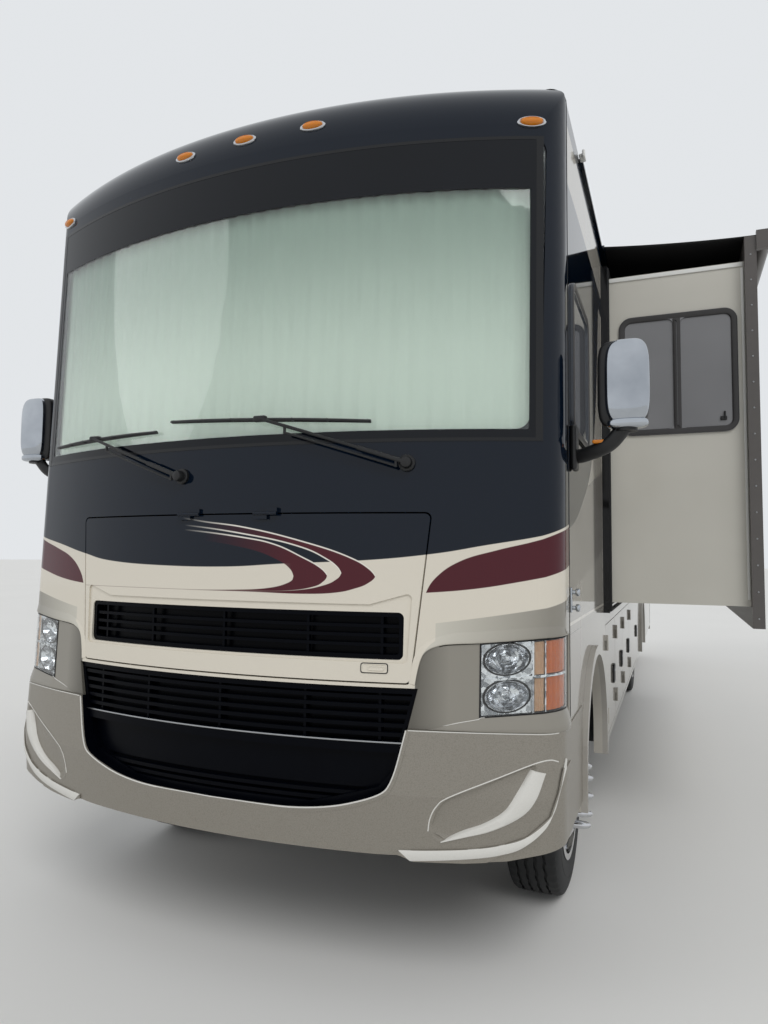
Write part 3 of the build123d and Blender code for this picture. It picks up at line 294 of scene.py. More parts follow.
comet = {       # upper and lower edge of each tail, as x and z
    "outer": ([(-0.30, 1.775), (-0.134, 1.743), (0.078, 1.716), (0.341, 1.659), (0.535, 1.598),
               (0.600, 1.562), (0.630, 1.530)],
              [(-0.30, 1.4630), (0.145, 1.4615), (0.349, 1.459), (0.460, 1.464), (0.560, 1.485),
               (0.608, 1.507), (0.630, 1.530)]),
    "outerHollow": ([(-0.30, 1.735), (0.078, 1.690), (0.342, 1.636), (0.441, 1.593), (0.482, 1.565),
                     (0.500, 1.540)],
                    [(-0.30, 1.4640), (0.200, 1.4660), (0.340, 1.474), (0.430, 1.492), (0.482, 1.516),
                     (0.500, 1.540)]),
    "inner": ([(-0.30, 1.715), (0.102, 1.672), (0.209, 1.652), (0.343, 1.599), (0.418, 1.560),
               (0.446, 1.532)],
              [(-0.30, 1.4635), (0.150, 1.4650), (0.300, 1.471), (0.390, 1.486), (0.430, 1.506),
               (0.446, 1.532)]),
    "innerHollow": ([(-0.30, 1.675), (0.104, 1.630), (0.244, 1.585), (0.292, 1.555), (0.310, 1.525)],
                    [(-0.30, 1.4640), (0.060, 1.4680), (0.197, 1.477), (0.285, 1.498), (0.310, 1.525)]),
}


def hatchPaint():
    # the same gelcoat; the hatch carries a double comet in burgundy with pale pinstripes
    material, tree, shader = newMaterial("gelcoatHatch", gloss)
    place = paintPlace(tree)
    black = above(tree, place["x"], place["z"], blackEdge)
    ground = layer(tree, paint["cream"], black, paint["black"])
    colour = ground
    for name, (upper, lower) in comet.items():
        over = above(tree, place["x"], place["z"], upper)
        under = above(tree, place["x"], place["z"], lower)
        shape = between(tree, over, under)
        inside = addNode(tree, "ShaderNodeMath", {"operation": "LESS_THAN", 1: upper[-1][0]}, {0: place["x"]})
        shape = addNode(tree, "ShaderNodeMath", {"operation": "MULTIPLY"}, {0: shape, 1: inside})
        if name.endswith("Hollow"):
            colour = layer(tree, colour, shape, ground)
        else:
            # the tail fades into the dark paint towards the middle of the hatch
            tail = addNode(tree, "ShaderNodeMapRange", {"From Min": -0.10, "From Max": 0.30}, {0: place["x"]})
            lowPart = addNode(tree, "ShaderNodeMapRange", {"From Min": 1.56, "From Max": 1.50},
                              {0: place["z"]})
            keep = addNode(tree, "ShaderNodeMath", {"operation": "MAXIMUM"}, {0: tail, 1: lowPart})
            shown = addNode(tree, "ShaderNodeMath", {"operation": "MULTIPLY"}, {0: shape, 1: keep})
            colour = layer(tree, colour, shown, paint["burgundy"])
    for name in ("outer", "inner", "outerHollow"):
        upper = comet[name][0]
        wide = above(tree, place["x"], place["z"], [(x, z - 0.004) for x, z in upper])
        thin = above(tree, place["x"], place["z"], [(x, z + 0.001) for x, z in upper])
        stripe = between(tree, thin, wide)
        span = addNode(tree, "ShaderNodeMapRange", {"From Min": -0.20, "From Max": 0.05}, {0: place["x"]})
        inside = addNode(tree, "ShaderNodeMath", {"operation": "LESS_THAN", 1: upper[-1][0]}, {0: place["x"]})
        both = addNode(tree, "ShaderNodeMath", {"operation": "MULTIPLY"}, {0: span, 1: inside})
        shown = addNode(tree, "ShaderNodeMath", {"operation": "MULTIPLY"}, {0: stripe, 1: both})
        colour = layer(tree, colour, shown, paint["pinstripe"])
    tree.links.new(colour, shader.inputs["Base Color"])
    rippled(tree, shader, place, *paint["orangePeel"])
    return material


def roofSkin():
    # rolled membrane on top, mottled and matt; the eaves and gutters carry the black paint of the cap
    material, tree, shader = newMaterial("rolledRoofMembrane", {"Roughness": 0.6})
    place = paintPlace(tree)
    membrane = mottled(tree, place, "#c2c2be", "#d0d0cc", 300, 4.0)
    eave = addNode(tree, "ShaderNodeMath", {"operation": "GREATER_THAN", 1: halfWidth - 62 * mm},
                   {0: place["side"]})
    colour = layer(tree, membrane, eave, paint["black"])
    tree.links.new(colour, shader.inputs["Base Color"])
    dull = addNode(tree, "ShaderNodeMapRange", {"To Min": 0.7, "To Max": 0.12}, {0: eave})
    tree.links.new(dull.outputs[0], shader.inputs["Roughness"])
    rippled(tree, shader, place, 25.0, 0.3)
    return material


def bumperPaint():
    # metallic basecoat under clear lacquer, its flake drawn 4 mm coarse so that it shows
    material, tree, shader = newMaterial("metallicLacquerBumper",
                                         {**gloss, "Metallic": 0.35, "Roughness": 0.32})
    place = paintPlace(tree)
    flake = addNode(tree, "ShaderNodeTexVoronoi", {"Scale": 1 / (4 * mm)}, {"Vector": place["vector"]})
    ramp = layer(tree, "#9a958c", flake.outputs["Distance"], "#878279")
    tree.links.new(dusted(tree, place, ramp), shader.inputs["Base Color"])
    rippled(tree, shader, place, *paint["orangePeel"])
    return material


wallEdges = {       # edges of the paint on the walls, as y from the seam and z
    "sweepLow": [(0.0, 1.46), (1.2, 1.62), (3.0, 1.95), (6.0, 2.02), (10.3, 1.70)],
    "sweepTop": [(0.0, 1.69), (1.2, 2.05), (3.0, 2.28), (6.0, 2.26), (10.3, 1.86)],
    "pillar": [(0.0, 1.71), (0.5, 1.86), (0.95, 2.15), (1.25, 2.80), (1.35, 3.60)],
    "bladeTop": [(0.06, 3.10), (0.50, 3.115), (1.50, 3.120), (2.60, 3.115), (3.20, 3.10)],
    "bladeLow": [(0.06, 3.09), (0.50, 3.055), (1.50, 3.010), (2.60, 3.050), (3.20, 3.10)],
}


def wallPaint():
    # laminated fibreglass wall, sprayed silver with darker bands: gloss, and very slightly wavy
    material, tree, shader = newMaterial("sprayedFibreglassWall", gloss)
    place = paintPlace(tree)
    lines = {name: above(tree, place["y"], place["z"], line) for name, line in wallEdges.items()}
    colour = layer(tree, paint["silver"], lines["sweepTop"], paint["wallPale"])
    colour = layer(tree, colour, between(tree, lines["sweepTop"], lines["sweepLow"]), paint["wallDark"])
    pillar = lines["pillar"]
    colour = layer(tree, colour, pillar, paint["black"])
    # above the driver's window the mask stops, and a dark blade runs back under the gutter
    upper = addNode(tree, "ShaderNodeMath", {"operation": "MINIMUM"}, {0: lines["bladeTop"], 1: pillar})
    colour = layer(tree, colour, upper, paint["wallPale"])
    colour = layer(tree, colour, between(tree, lines["bladeTop"], lines["bladeLow"]), paint["black"])
    for lowZ, highZ, shade in ((1.310, 1.313, "#5f5c58"), (1.344, 1.356, "#d9d4c9")):
        lower = addNode(tree, "ShaderNodeMath", {"operation": "GREATER_THAN", 1: lowZ}, {0: place["z"]})
        upper = addNode(tree, "ShaderNodeMath", {"operation": "GREATER_THAN", 1: highZ}, {0: place["z"]})
        colour = layer(tree, colour, between(tree, upper, lower), shade)
    # the frame round the slide-out's opening stands proud of the wall and is black
    proud = addNode(tree, "ShaderNodeMath", {"operation": "GREATER_THAN", 1: halfWidth + 0.8 * mm},
                    {0: place["side"]})
    high = addNode(tree, "ShaderNodeMath", {"operation": "GREATER_THAN", 1: 1.28}, {0: place["z"]})
    seal = addNode(tree, "ShaderNodeMath", {"operation": "MULTIPLY"}, {0: proud, 1: high})
    colour = layer(tree, colour, seal, "#121213")
    inward = addNode(tree, "ShaderNodeMath", {"operation": "LESS_THAN", 1: halfWidth - 4 * mm},
                     {0: place["side"]})
    colour = layer(tree, colour, inward, "#b7b2a8")
    tree.links.new(dusted(tree, place, colour), shader.inputs["Base Color"])
    rippled(tree, shader, place, 60.0, 0.25)
    return material


def slidePaint():
    # fibreglass panel with a fine pebble, sprayed cream
    material, tree, shader = newMaterial("sprayedFibreglassSlide", {**gloss, "Roughness": 0.16})
    place = paintPlace(tree)
    tree.links.new(mottled(tree, place, "#c1beb4", "#cecbc2", 400), shader.inputs["Base Color"])
    rippled(tree, shader, place, 6.0, 0.12)
    return material


def laminatedGlass():
    # green-tinted laminated windshield: clear, sharp reflections
    material, tree, shader = newMaterial("laminatedGlass", {
        "Base Color": tint("#fafffb"), "Roughness": 0.0, "IOR": 1.5, "Transmission Weight": 1.0})
    place = paintPlace(tree)
    rippled(tree, shader, place, 300.0, 0.15, 0.05)
    return material


def privacyGlass(name, low, high):
    # deep grey window glass: reads near black, with sharp reflections
    material, tree, shader = newMaterial(name, {"Roughness": 0.03, "IOR": 1.5})
    place = paintPlace(tree)
    tree.links.new(mottled(tree, place, low, high, 500), shader.inputs["Base Color"])
    rippled(tree, shader, place, 400.0, 0.2, 0.05)
    return material


def pleatedShade():
    # quilted blackout curtain, drawn across: soft, pale green through the glass, and darker towards the top
    # with painted shade under the cab's header
    material, tree, shader = newMaterial("quiltedShadeCloth", {"Roughness": 0.9, "Sheen Weight": 0.2})
    place = paintPlace(tree)
    weave = addNode(tree, "ShaderNodeTexNoise", {"Scale": 1 / (25 * mm), "Detail": 4.0},
                    {"Vector": place["vector"]})
    # painted shade: the curtain darkens from z 2.30 up to 3.02, standing for the header's shadow
    fall = addNode(tree, "ShaderNodeMapRange",
                   {"From Min": 2.30, "From Max": 3.02, "interpolation_type": "SMOOTHSTEP"}, {0: place["z"]})
    ramp = layer(tree, "#f1fbf2", fall, "#a9bbb1")
    tree.links.new(ramp, shader.inputs["Base Color"])
    raised(tree, shader, weave, 1.5, 0.3)
    return material


def plainFinish(name, low, high, spotMm, settings, grainMm, depthMm, strength=0.3):
    # two close tones mottled at a real size, with a grain
    material, tree, shader = newMaterial(name, settings)
    place = paintPlace(tree)
    tree.links.new(mottled(tree, place, low, high, spotMm, 4.0), shader.inputs["Base Color"])
    rippled(tree, shader, place, grainMm, depthMm, strength)
    return material


def lampLens():
    # moulded acrylic: amber on the front, red on the tail
    material, tree, shader = newMaterial("mouldedAcrylicLens",
                                         {"Roughness": 0.12, "IOR": 1.49, "Coat Weight": 0.2})
    place = paintPlace(tree)
    rear = addNode(tree, "ShaderNodeMath", {"operation": "GREATER_THAN", 1: 5.0}, {0: place["y"]})
    colour = layer(tree, "#d27c10", rear, "#8e1116")
    tree.links.new(colour, shader.inputs["Base Color"])
    flutes = addNode(tree, "ShaderNodeTexWave", {"Scale": 1 / (40 * mm)}, {"Vector": place["vector"]})
    raised(tree, shader, flutes, 1.0, 0.3)
    return material


def facetedReflector():
    # vacuum-metallised reflector pressed in small facets, each facet given a random lighter or darker tone:
    # painted reflections of light and dark surroundings
    material, tree, shader = newMaterial("metallisedReflector", {"Metallic": 1.0, "Roughness": 0.1})
    place = paintPlace(tree)
    facets = addNode(tree, "ShaderNodeTexVoronoi", {"Scale": 1 / (17 * mm)}, {"Vector": place["vector"]})
    facetReflectionTone = addNode(tree, "ShaderNodeSeparateXYZ", None, {0: facets.outputs["Color"]})
    share = addNode(tree, "ShaderNodeMapRange", {"From Min": 0.25, "From Max": 0.75}, {0: facetReflectionTone.outputs["X"]})
    # painted reflection: each facet's tone comes from its cell's random colour
    ramp = layer(tree, "#9a9c9f", share, "#fdfdfe")
    tree.links.new(ramp, shader.inputs["Base Color"])
    raised(tree, shader, facets.outputs["Distance"], 1.5, 0.3)
    return material


def clearLens():
    # hard-coated polycarbonate lamp cover: clear, with the faint pull of the mould
    material, tree, shader = newMaterial("hardCoatedPolycarbonate", {
        "Base Color": tint("#f4f7f8"), "Roughness": 0.02, "IOR": 1.5, "Transmission Weight": 1.0})
    rippled(tree, shader, paintPlace(tree), 40.0, 0.05, 0.1)
    return material


finishes = {
    "painted_cap": capPaint(),
    "painted_hatch": hatchPaint(),
    "painted_bumper": bumperPaint(),
    "painted_wall": wallPaint(),
    "painted_slide": slidePaint(),
    "windshield_glass": laminatedGlass(),
    "tinted_glass": privacyGlass("privacyGlass", "#464a50", "#54585e"),
    "shade_cloth": pleatedShade(),
    "amber_lens": lampLens(),
    # moulded ABS, satin: fine grain that breaks up the highlights
    "black_grille": plainFinish("mouldedABSBlack", "#010207", "#04060c", 60,
                                {"Roughness": 0.3, "IOR": 1.36, "Specular IOR Level": 0.12}, 2.0, 0.05),
    "black_trim": plainFinish("satinBlackTrim", "#0d0d0e", "#1a1a1b", 40,
                              {"Roughness": 0.45, "IOR": 1.5}, 1.5, 0.05),
    # chromed plastic and steel: bright, sharp, a little cloudy
    "mirror_housing": plainFinish("chromedABS", "#7f868f", "#d9dde2", 240,
                                  {"Metallic": 1.0, "Roughness": 0.08}, 80, 0.1, 0.1),
    "chrome_wheel": plainFinish("chromedSteelWheel", "#c2c3c6", "#d6d7d9", 90,
                                {"Metallic": 1.0, "Roughness": 0.09}, 60, 0.1, 0.1),
    "bare_aluminium": plainFinish("anodisedAluminium", "#a9abad", "#bcbec0", 50,
                                  {"Metallic": 1.0, "Roughness": 0.3}, 1.5, 0.02),
    "awning_case": plainFinish("powderCoatedAluminium", "#8f8d89", "#9b9995", 70,
                               {"Roughness": 0.4}, 3.0, 0.03),
    "roof_membrane": roofSkin(),
    "white_plastic": plainFinish("vacuumFormedShroud", "#dcdcd8", "#e8e8e4", 150,
                                 {"Roughness": 0.45}, 8.0, 0.05),
    "floor_board": plainFinish("vinylFloorBoard", "#857766", "#6f6253", 90, {"Roughness": 0.5}, 12.0, 0.1),
    "bay_liner": plainFinish("mouldedPolyethyleneLiner", "#2c2c2e", "#3a3a3c", 80,
                             {"Roughness": 0.6}, 4.0, 0.1),
    # brushed-on chassis paint with road dust
    "black_steel": plainFinish("chassisPaint", "#141414", "#2b2925", 120, {"Roughness": 0.55}, 10.0, 0.2),
    "cast_metal": plainFinish("castIron", "#3a3a3b", "#4a4947", 30,
                              {"Metallic": 0.7, "Roughness": 0.6}, 5.0, 0.3),
    "tank_plastic": plainFinish("blowMouldedTank", "#19191a", "#242424", 100, {"Roughness": 0.5}, 6.0, 0.1),
    "exhaust_steel": plainFinish("aluminisedSteel", "#7d7974", "#8f8b86", 60,
                                 {"Metallic": 1.0, "Roughness": 0.4}, 8.0, 0.1),
    "slide_frame": plainFinish("powderCoatedTrim", "#524e4c", "#5c5855", 60, {"Roughness": 0.35}, 3.0, 0.03),
    "topper_fabric": plainFinish("coatedPolyesterTopper", "#0c0c0e", "#161619", 150,
                                 {"Roughness": 0.6}, 3.0, 0.2),
    "tyre_rubber": plainFinish("vulcanisedRubber", "#0f1012", "#18191a", 45, {"Roughness": 0.68}, 6.0, 0.1),
    "lamp_lens": facetedReflector(),
    # Looks that only some pieces of a slot have, first the same glass painted a lighter grey: a painted
    # reflection of the sky
    "paintedSkyGlass": privacyGlass("glassPaintedSkyReflection", "#6c6c6e", "#88888a"),
    "clearLens": clearLens(),
    # screen-printed ceramic border, fired onto the glass: dead black under full gloss
    "frit": plainFinish("firedCeramicFrit", "#03060c", "#070b13", 200,
                        {"Roughness": 0.05, "IOR": 1.5, "Specular IOR Level": 0.3}, 300.0, 0.1, 0.05),
    # moulded acrylic reflex blocks, inner column pale and outer column deep amber
    "paleAmber": plainFinish("paleAmberAcrylic", "#dfa67c", "#f0c7a0", 14,
                             {"Roughness": 0.1, "IOR": 1.49}, 7.0, 0.8, 0.8),
    "deepAmber": plainFinish("deepAmberAcrylic", "#dc6224", "#ef8238", 14,
                             {"Roughness": 0.1, "IOR": 1.49}, 7.0, 0.8, 0.8),
    # silver basecoat with more flake than the walls, painted almost white as a painted highlight: it stands
    # for the sky caught on rolled edges, beads and upward faces
    "silverPaintedHighlight": plainFinish("silverLacquerPaintedHighlight", "#d2d0ca", "#dedcd6", 4,
                                {**gloss, "Roughness": 0.2}, 9.0, 0.05, 0.1),
    # the same powder in a darker batch, on the window frames
    "windowFrame": plainFinish("powderCoatedFrame", "#2c2a2a", "#363434", 60, {"Roughness": 0.35}, 3.0, 0.03),
    # extruded EPDM: dull black, faintly streaked
    "sealRubber": plainFinish("extrudedEPDM", "#0e0e0f", "#19191a", 25, {"Roughness": 0.75}, 4.0, 0.1),
    # the same rubber, skinned smooth: a thin line of light along its edge
    "moulding": plainFinish("smoothEPDM", "#07080b", "#0c0d10", 40,
                            {"Roughness": 0.22, "IOR": 1.45}, 30.0, 0.05, 0.1),
    # zinc-plated steel screws
    "zinc": plainFinish("zincPlatedSteel", "#9b9d9f", "#b0b1b2", 12,
                        {"Metallic": 1.0, "Roughness": 0.35}, 4.0, 0.05),
}
print("materials made:", len(finishes))

slotOf = {part["node"]: part["material_slot"] for part in frame["record"]["subparts"]}
for name, node in nodes.items():
    node.data.materials.clear()
    # the slide-out's windows take the glass with the painted sky reflection
    node.data.materials.append(finishes["paintedSkyGlass" if name == "slide_windows" else slotOf[name]])

# Camera, from the photograph's vanishing points
camera = {"place": (1.6495, -2.770, 1.5955), "yaw": 22.1, "pitch": 3.75, "roll": 0.6,
          "focalPx": 710.0, "longSidePx": 1024}


def makeCamera():
    yaw, pitch, roll = (math.radians(camera[k]) for k in ("yaw", "pitch", "roll"))
    ahead = Vector((-math.sin(yaw) * math.cos(pitch), math.cos(yaw) * math.cos(pitch), math.sin(pitch)))
    level = Vector((math.cos(yaw), math.sin(yaw), 0.0))
    upright = level.cross(ahead)
    right = level * math.cos(roll) + upright * math.sin(roll)
    up = upright * math.cos(roll) - level * math.sin(roll)
    data = bpy.data.cameras.new("photoCamera")
    data.sensor_width = 36.0
    data.lens = camera["focalPx"] / camera["longSidePx"] * data.sensor_width
    data.clip_start, data.clip_end = 0.05, 500.0
    holder = bpy.data.objects.new("photoCamera", data)
    turn = Matrix((right, up, -ahead)).transposed().to_4x4()
    holder.matrix_world = Matrix.Translation(at(*camera["place"])) @ turn
    scene.collection.objects.link(holder)
    scene.camera = holder


studio = {"floorSize": 400.0, "floor": "#eae9e6", "sky": "#e8ebee", "worldStrength": 0.62,
          "sunSoftness": 30.0}
suns = {    # name: where it shines from, and how strongly
    "keySun": ((5.0, -7.0, 8.5), 1.05),
    "fillSun": ((-7.0, -5.0, 4.0), 0.35),
    "rearSun": ((3.0, 9.0, 5.0), 0.35),
}


def makeStudio():
    bpy.ops.mesh.primitive_grid_add(x_subdivisions=4, y_subdivisions=4, size=studio["floorSize"],
                                    location=(0, 0, 0))
    floor = bpy.context.object
    floor.name = "studioFloor"
    material, tree, shader = newMaterial("mattFloor", {"Roughness": 0.8})
    place = addNode(tree, "ShaderNodeTexCoord").outputs["Object"]
    cloud = addNode(tree, "ShaderNodeTexNoise", {"Scale": 0.35}, {"Vector": place})
    ramp = layer(tree, "#e4e3e0", cloud, studio["floor"])
    tree.links.new(ramp, shader.inputs["Base Color"])
    floor.data.materials.append(material)
    world = bpy.data.worlds.new("softStudio")
    scene.world = world
    world.use_nodes = True
    tree = world.node_tree
    back = tree.nodes["Background"]
    back.inputs[0].default_value = tint(studio["sky"])
    rays = addNode(tree, "ShaderNodeLightPath")
    seen = addNode(tree, "ShaderNodeMath", {"operation": "MAXIMUM"},
                   {0: rays.outputs["Is Camera Ray"], 1: rays.outputs["Is Glossy Ray"]})
    seen = addNode(tree, "ShaderNodeMath", {"operation": "MAXIMUM"},
                   {0: seen, 1: rays.outputs["Is Transmission Ray"]})
    power = addNode(tree, "ShaderNodeMapRange", {"To Min": studio["worldStrength"], "To Max": 0.95},
                    {0: seen})
    tree.links.new(power.outputs[0], back.inputs["Strength"])
    for name, (spot, strength) in suns.items():
        light = bpy.data.lights.new(name, "SUN")
        light.energy = strength
        light.angle = math.radians(studio["sunSoftness"])
        lamp = bpy.data.objects.new(name, light)
        lamp.rotation_mode = "QUATERNION"
        lamp.rotation_quaternion = (-Vector(spot)).to_track_quat("-Z", "Y")
        lamp.visible_glossy = False          # a soft light has no bright disc in paint and glass
        scene.collection.objects.link(lamp)
    scene.view_settings.view_transform = "Standard"


makeCamera()
makeStudio()
print("camera and studio set")


def addPiece(name, shells, body, slot, finish=None, crease=35.0):
    # shells of points and faces, joined in one mesh; its finish is the slot's own unless another is named
    points, faces = [], []
    for shellPoints, shellFaces in shells:
        start = len(points)
        points.extend(tuple(p) for p in shellPoints)
        faces.extend(tuple(i + start for i in face) for face in shellFaces)
    mesh = bpy.data.meshes.new(name)
    mesh.from_pydata(points, [], faces)
    mesh.validate()
    tidy = bmesh.new()
    tidy.from_mesh(mesh)
    bmesh.ops.remove_doubles(tidy, verts=tidy.verts, dist=1e-5)
    bmesh.ops.recalc_face_normals(tidy, faces=tidy.faces)
    tidy.to_mesh(mesh)
    tidy.free()
    mesh.shade_smooth()
    mesh.set_sharp_from_angle(angle=math.radians(crease))
    mesh.materials.append(finishes[finish or slot])
    piece = bpy.data.objects.new(name, mesh)
    scene.collection.objects.link(piece)
    if body:
        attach(piece, body)
    return piece


def steps(low, high, count):
    return [low + (high - low) * n / count for n in range(count + 1)]


def upTo(value):
    # a share, kept between 0 and 1
    return min(1.0, max(0.0, value))


def skin(rings, closed=True, ends=True, loop=False):
    # quads between one ring of points and the next
    points, faces = [], []
    count = len(rings[0])
    for ring in rings:
        points.extend(ring)
    for i in range(len(rings) if loop else len(rings) - 1):
        a, b = i * count, ((i + 1) % len(rings)) * count
        for j in range(count if closed else count - 1):
            k = (j + 1) % count
            faces.append((a + j, a + k, b + k, b + j))
    if ends and not loop:
        faces.append(tuple(range(count))[::-1])
        faces.append(tuple(range((len(rings) - 1) * count, len(rings) * count)))
    return points, faces


def turnedX(profile, centre, count, side):
    # profile of (x, radius) pairs, turned about an axle along x
    rings = []
    for n in range(count):
        a = 2 * math.pi * n / count
        rings.append([Vector((centre.x + side * x, centre.y + r * math.cos(a), centre.z + r * math.sin(a)))
                      for x, r in profile])
    return skin(rings, closed=False, ends=False, loop=True)


def roundedLoop(wide, high, radius, count=6):
    # a rounded rectangle as flat pairs about its own middle
    loop = []
    for cx, cz, start in ((wide / 2 - radius, high / 2 - radius, 0),
                          (radius - wide / 2, high / 2 - radius, 90),
                          (radius - wide / 2, radius - high / 2, 180),
                          (wide / 2 - radius, radius - high / 2, 270)):
        for n in range(count + 1):
            a = math.radians(start + 90 * n / count)
            loop.append((cx + radius * math.cos(a), cz + radius * math.sin(a)))
    return loop


def frameRing(middle, wide, high, radius, section, facing):
    # section of (inset, proud) pairs carried round a rounded rectangle that faces out of a wall
    across = {"x": Vector((0, 1, 0)), "y": Vector((1, 0, 0))}[facing[1]]
    out = {"x": Vector((1, 0, 0)), "y": Vector((0, 1, 0))}[facing[1]] * (1 if facing[0] == "+" else -1)
    rings = []
    for inset, proud in section:
        loop = roundedLoop(wide - 2 * inset, high - 2 * inset, max(radius - inset, 4 * mm))
        rings.append([middle + across * u + Vector((0, 0, v)) + out * proud for u, v in loop])
    return skin(rings, loop=True)


def tube(path, radius, count, squash=1.0):
    # a round bar along a list of points
    rings = []
    side = None
    for i, p in enumerate(path):
        ahead = (path[min(i + 1, len(path) - 1)] - path[max(i - 1, 0)]).normalized()
        if side is None:
            side = ahead.orthogonal().normalized()
        side = (side - ahead * side.dot(ahead)).normalized()
        up = ahead.cross(side)
        rings.append([p + side * radius * math.cos(2 * math.pi * n / count)
                      + up * radius * squash * math.sin(2 * math.pi * n / count) for n in range(count)])
    return skin(rings)


def smoothPath(points, each=8):
    # a Catmull-Rom line through a few points
    pts = [points[0] * 2 - points[1], *points, points[-1] * 2 - points[-2]]
    line = []
    for i in range(1, len(pts) - 2):
        a, b, c, d = pts[i - 1:i + 3]
        for n in range(each):
            t = n / each
            line.append(0.5 * ((2 * b) + (c - a) * t + (2 * a - 5 * b + 4 * c - d) * t ** 2
                               + (3 * b - a - 3 * c + d) * t ** 3))
    return line + [points[-1]]


def smoothPairs(points, each):
    line = smoothPath([Vector((x, z, 0)) for x, z in points], each)
    return [(p.x, p.y) for p in line]


def puffBox(middle, size, bevel, count=4):
    # a box with rounded edges all round, as rings from bottom to top
    wide, deep, high = size
    rings = []
    levels = [(-90 + 90 * n / count) for n in range(count + 1)]
    for half, turn in ((-1, levels), (1, [-a for a in reversed(levels)])):
        for a in turn:
            c, z = math.cos(math.radians(a)), math.sin(math.radians(a))
            inset = bevel * (1 - c)
            loop = roundedLoop(wide - 2 * inset, deep - 2 * inset, max(bevel * 1.2 - inset, 1 * mm))
            rings.append([middle + Vector((u, v, half * (high / 2 - bevel) + bevel * z)) for u, v in loop])
    return skin(rings)


def plate(place, us, vs, front, back):
    # a curved plate with its rims: place(u, v, out) gives its points; front may be a function of u and v
    height = front if callable(front) else (lambda u, v: front)
    points = [place(u, v, height(u, v)) for u in us for v in vs]
    points += [place(u, v, back) for u in us for v in vs]
    rows, n = len(us), len(vs)
    behind = rows * n
    faces = []
    for i in range(rows - 1):
        for j in range(n - 1):
            a, b, c, d = i * n + j, i * n + j + 1, (i + 1) * n + j + 1, (i + 1) * n + j
            faces += [(a, b, c, d), (behind + d, behind + c, behind + b, behind + a)]
    rim = [(0, j) for j in range(n)] + [(i, n - 1) for i in range(1, rows)]
    rim += [(rows - 1, j) for j in range(n - 2, -1, -1)] + [(i, 0) for i in range(rows - 2, 0, -1)]
    for k, (i, j) in enumerate(rim):
        i2, j2 = rim[(k + 1) % len(rim)]
        a, b = i * n + j, i2 * n + j2
        faces.append((a, behind + a, behind + b, b))
    return points, faces


def dish(middle, axes, size, profile, count=36):
    # oval rings: axes go across, up and out, and profile is (share of the size, height) pairs
    across, up, out = axes
    rings = []
    for n in range(count):
        a = 2 * math.pi * n / count
        flat = across * (size[0] / 2 * math.cos(a)) + up * (size[1] / 2 * math.sin(a))
        rings.append([middle + flat * t + out * h for t, h in profile])
    return skin(rings, closed=False, ends=False, loop=True)


def facingSide(side):
    return Vector((0, 1, 0)), Vector((0, 0, 1)), Vector((side, 0, 0))


def ribbon(outer, inner, place, section):
    # a strip between two outlines with the same number of points; section is (share, out) pairs across it
    rings = []
    for (x0, z0), (x1, z1) in zip(outer, inner):
        rings.append([place(x0 + (x1 - x0) * t, z0 + (z1 - z0) * t, out) for t, out in section])
    return skin(rings)


def cornered(corners, each):
    # the corners of a line rounded off from the middle of one side to the middle of the next
    line = [corners[0]]
    for i in range(1, len(corners) - 1):
        (ax, az), (bx, bz), (cx, cz) = corners[i - 1:i + 2]
        ax, az, cx, cz = (ax + bx) / 2, (az + bz) / 2, (cx + bx) / 2, (cz + bz) / 2
        for n in range(each):
            t = n / each
            line.append((ax * (1 - t) ** 2 + 2 * bx * t * (1 - t) + cx * t * t,
                         az * (1 - t) ** 2 + 2 * bz * t * (1 - t) + cz * t * t))
    return line + [corners[-1]]


def normals(line):
    # to the right of the way along a line
    found = []
    for i in range(len(line)):
        (x0, z0), (x1, z1) = line[max(i - 1, 0)], line[min(i + 1, len(line) - 1)]
        long = math.hypot(x1 - x0, z1 - z0)
        found.append(((z1 - z0) / long, (x0 - x1) / long))
    return found


# Topper cloth over the slide-out room, from the gutter rail over the room's edge to its roller
topper = {"sag": 0.012, "slack": 0.25, "sagWave": 1.7, "ripple": 0.0016, "rippleWave": 5.3, "past": 0.030,
          "rise": 3 * mm, "thick": 1.2 * mm, "across": 26, "along": 90}


def makeTopper():
    low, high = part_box("slide_topper")
    rail = Vector((low.x + 1 * mm, 0, high.z - 1 * mm))
    roller = Vector((high.x - 1 * mm, 0, low.z + 2 * mm))
    knee = Vector((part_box("slide_room")[1].x + topper["past"], 0, low.z + topper["rise"]))
    rings = []
    for y in steps(low.y, high.y, topper["along"]):
        ring = []
        for x in steps(rail.x, roller.x, topper["across"]):
            share = (x - rail.x) / (knee.x - rail.x)
            z = knee.z
            if share < 1:
                slack = 1 - topper["slack"] + topper["slack"] * math.sin(y * topper["sagWave"])
                z = rail.z + (knee.z - rail.z) * share - topper["sag"] * 4 * share * (1 - share) * slack
            ripple = topper["ripple"] * math.sin(y * topper["rippleWave"])
            ring.append(Vector((x, y, z + ripple * math.sin(math.pi * min(share, 1)) ** 2)))
        rings.append(ring)
    cloth = addPiece("slideTopperCloth", [skin(rings, closed=False, ends=False)], None, "topper_fabric",
                     crease=60)
    thick = cloth.modifiers.new("thick", "SOLIDIFY")
    thick.thickness = topper["thick"]
    thick.offset = 0
    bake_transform(cloth)
    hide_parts("slide_topper")


# A pleated curtain drawn across behind the windshield
shade = {"pleats": 34, "perPleat": 8, "depth": 0.005, "inset": 0.033, "rows": 16, "slack": 0.25, "wave": 0.9}


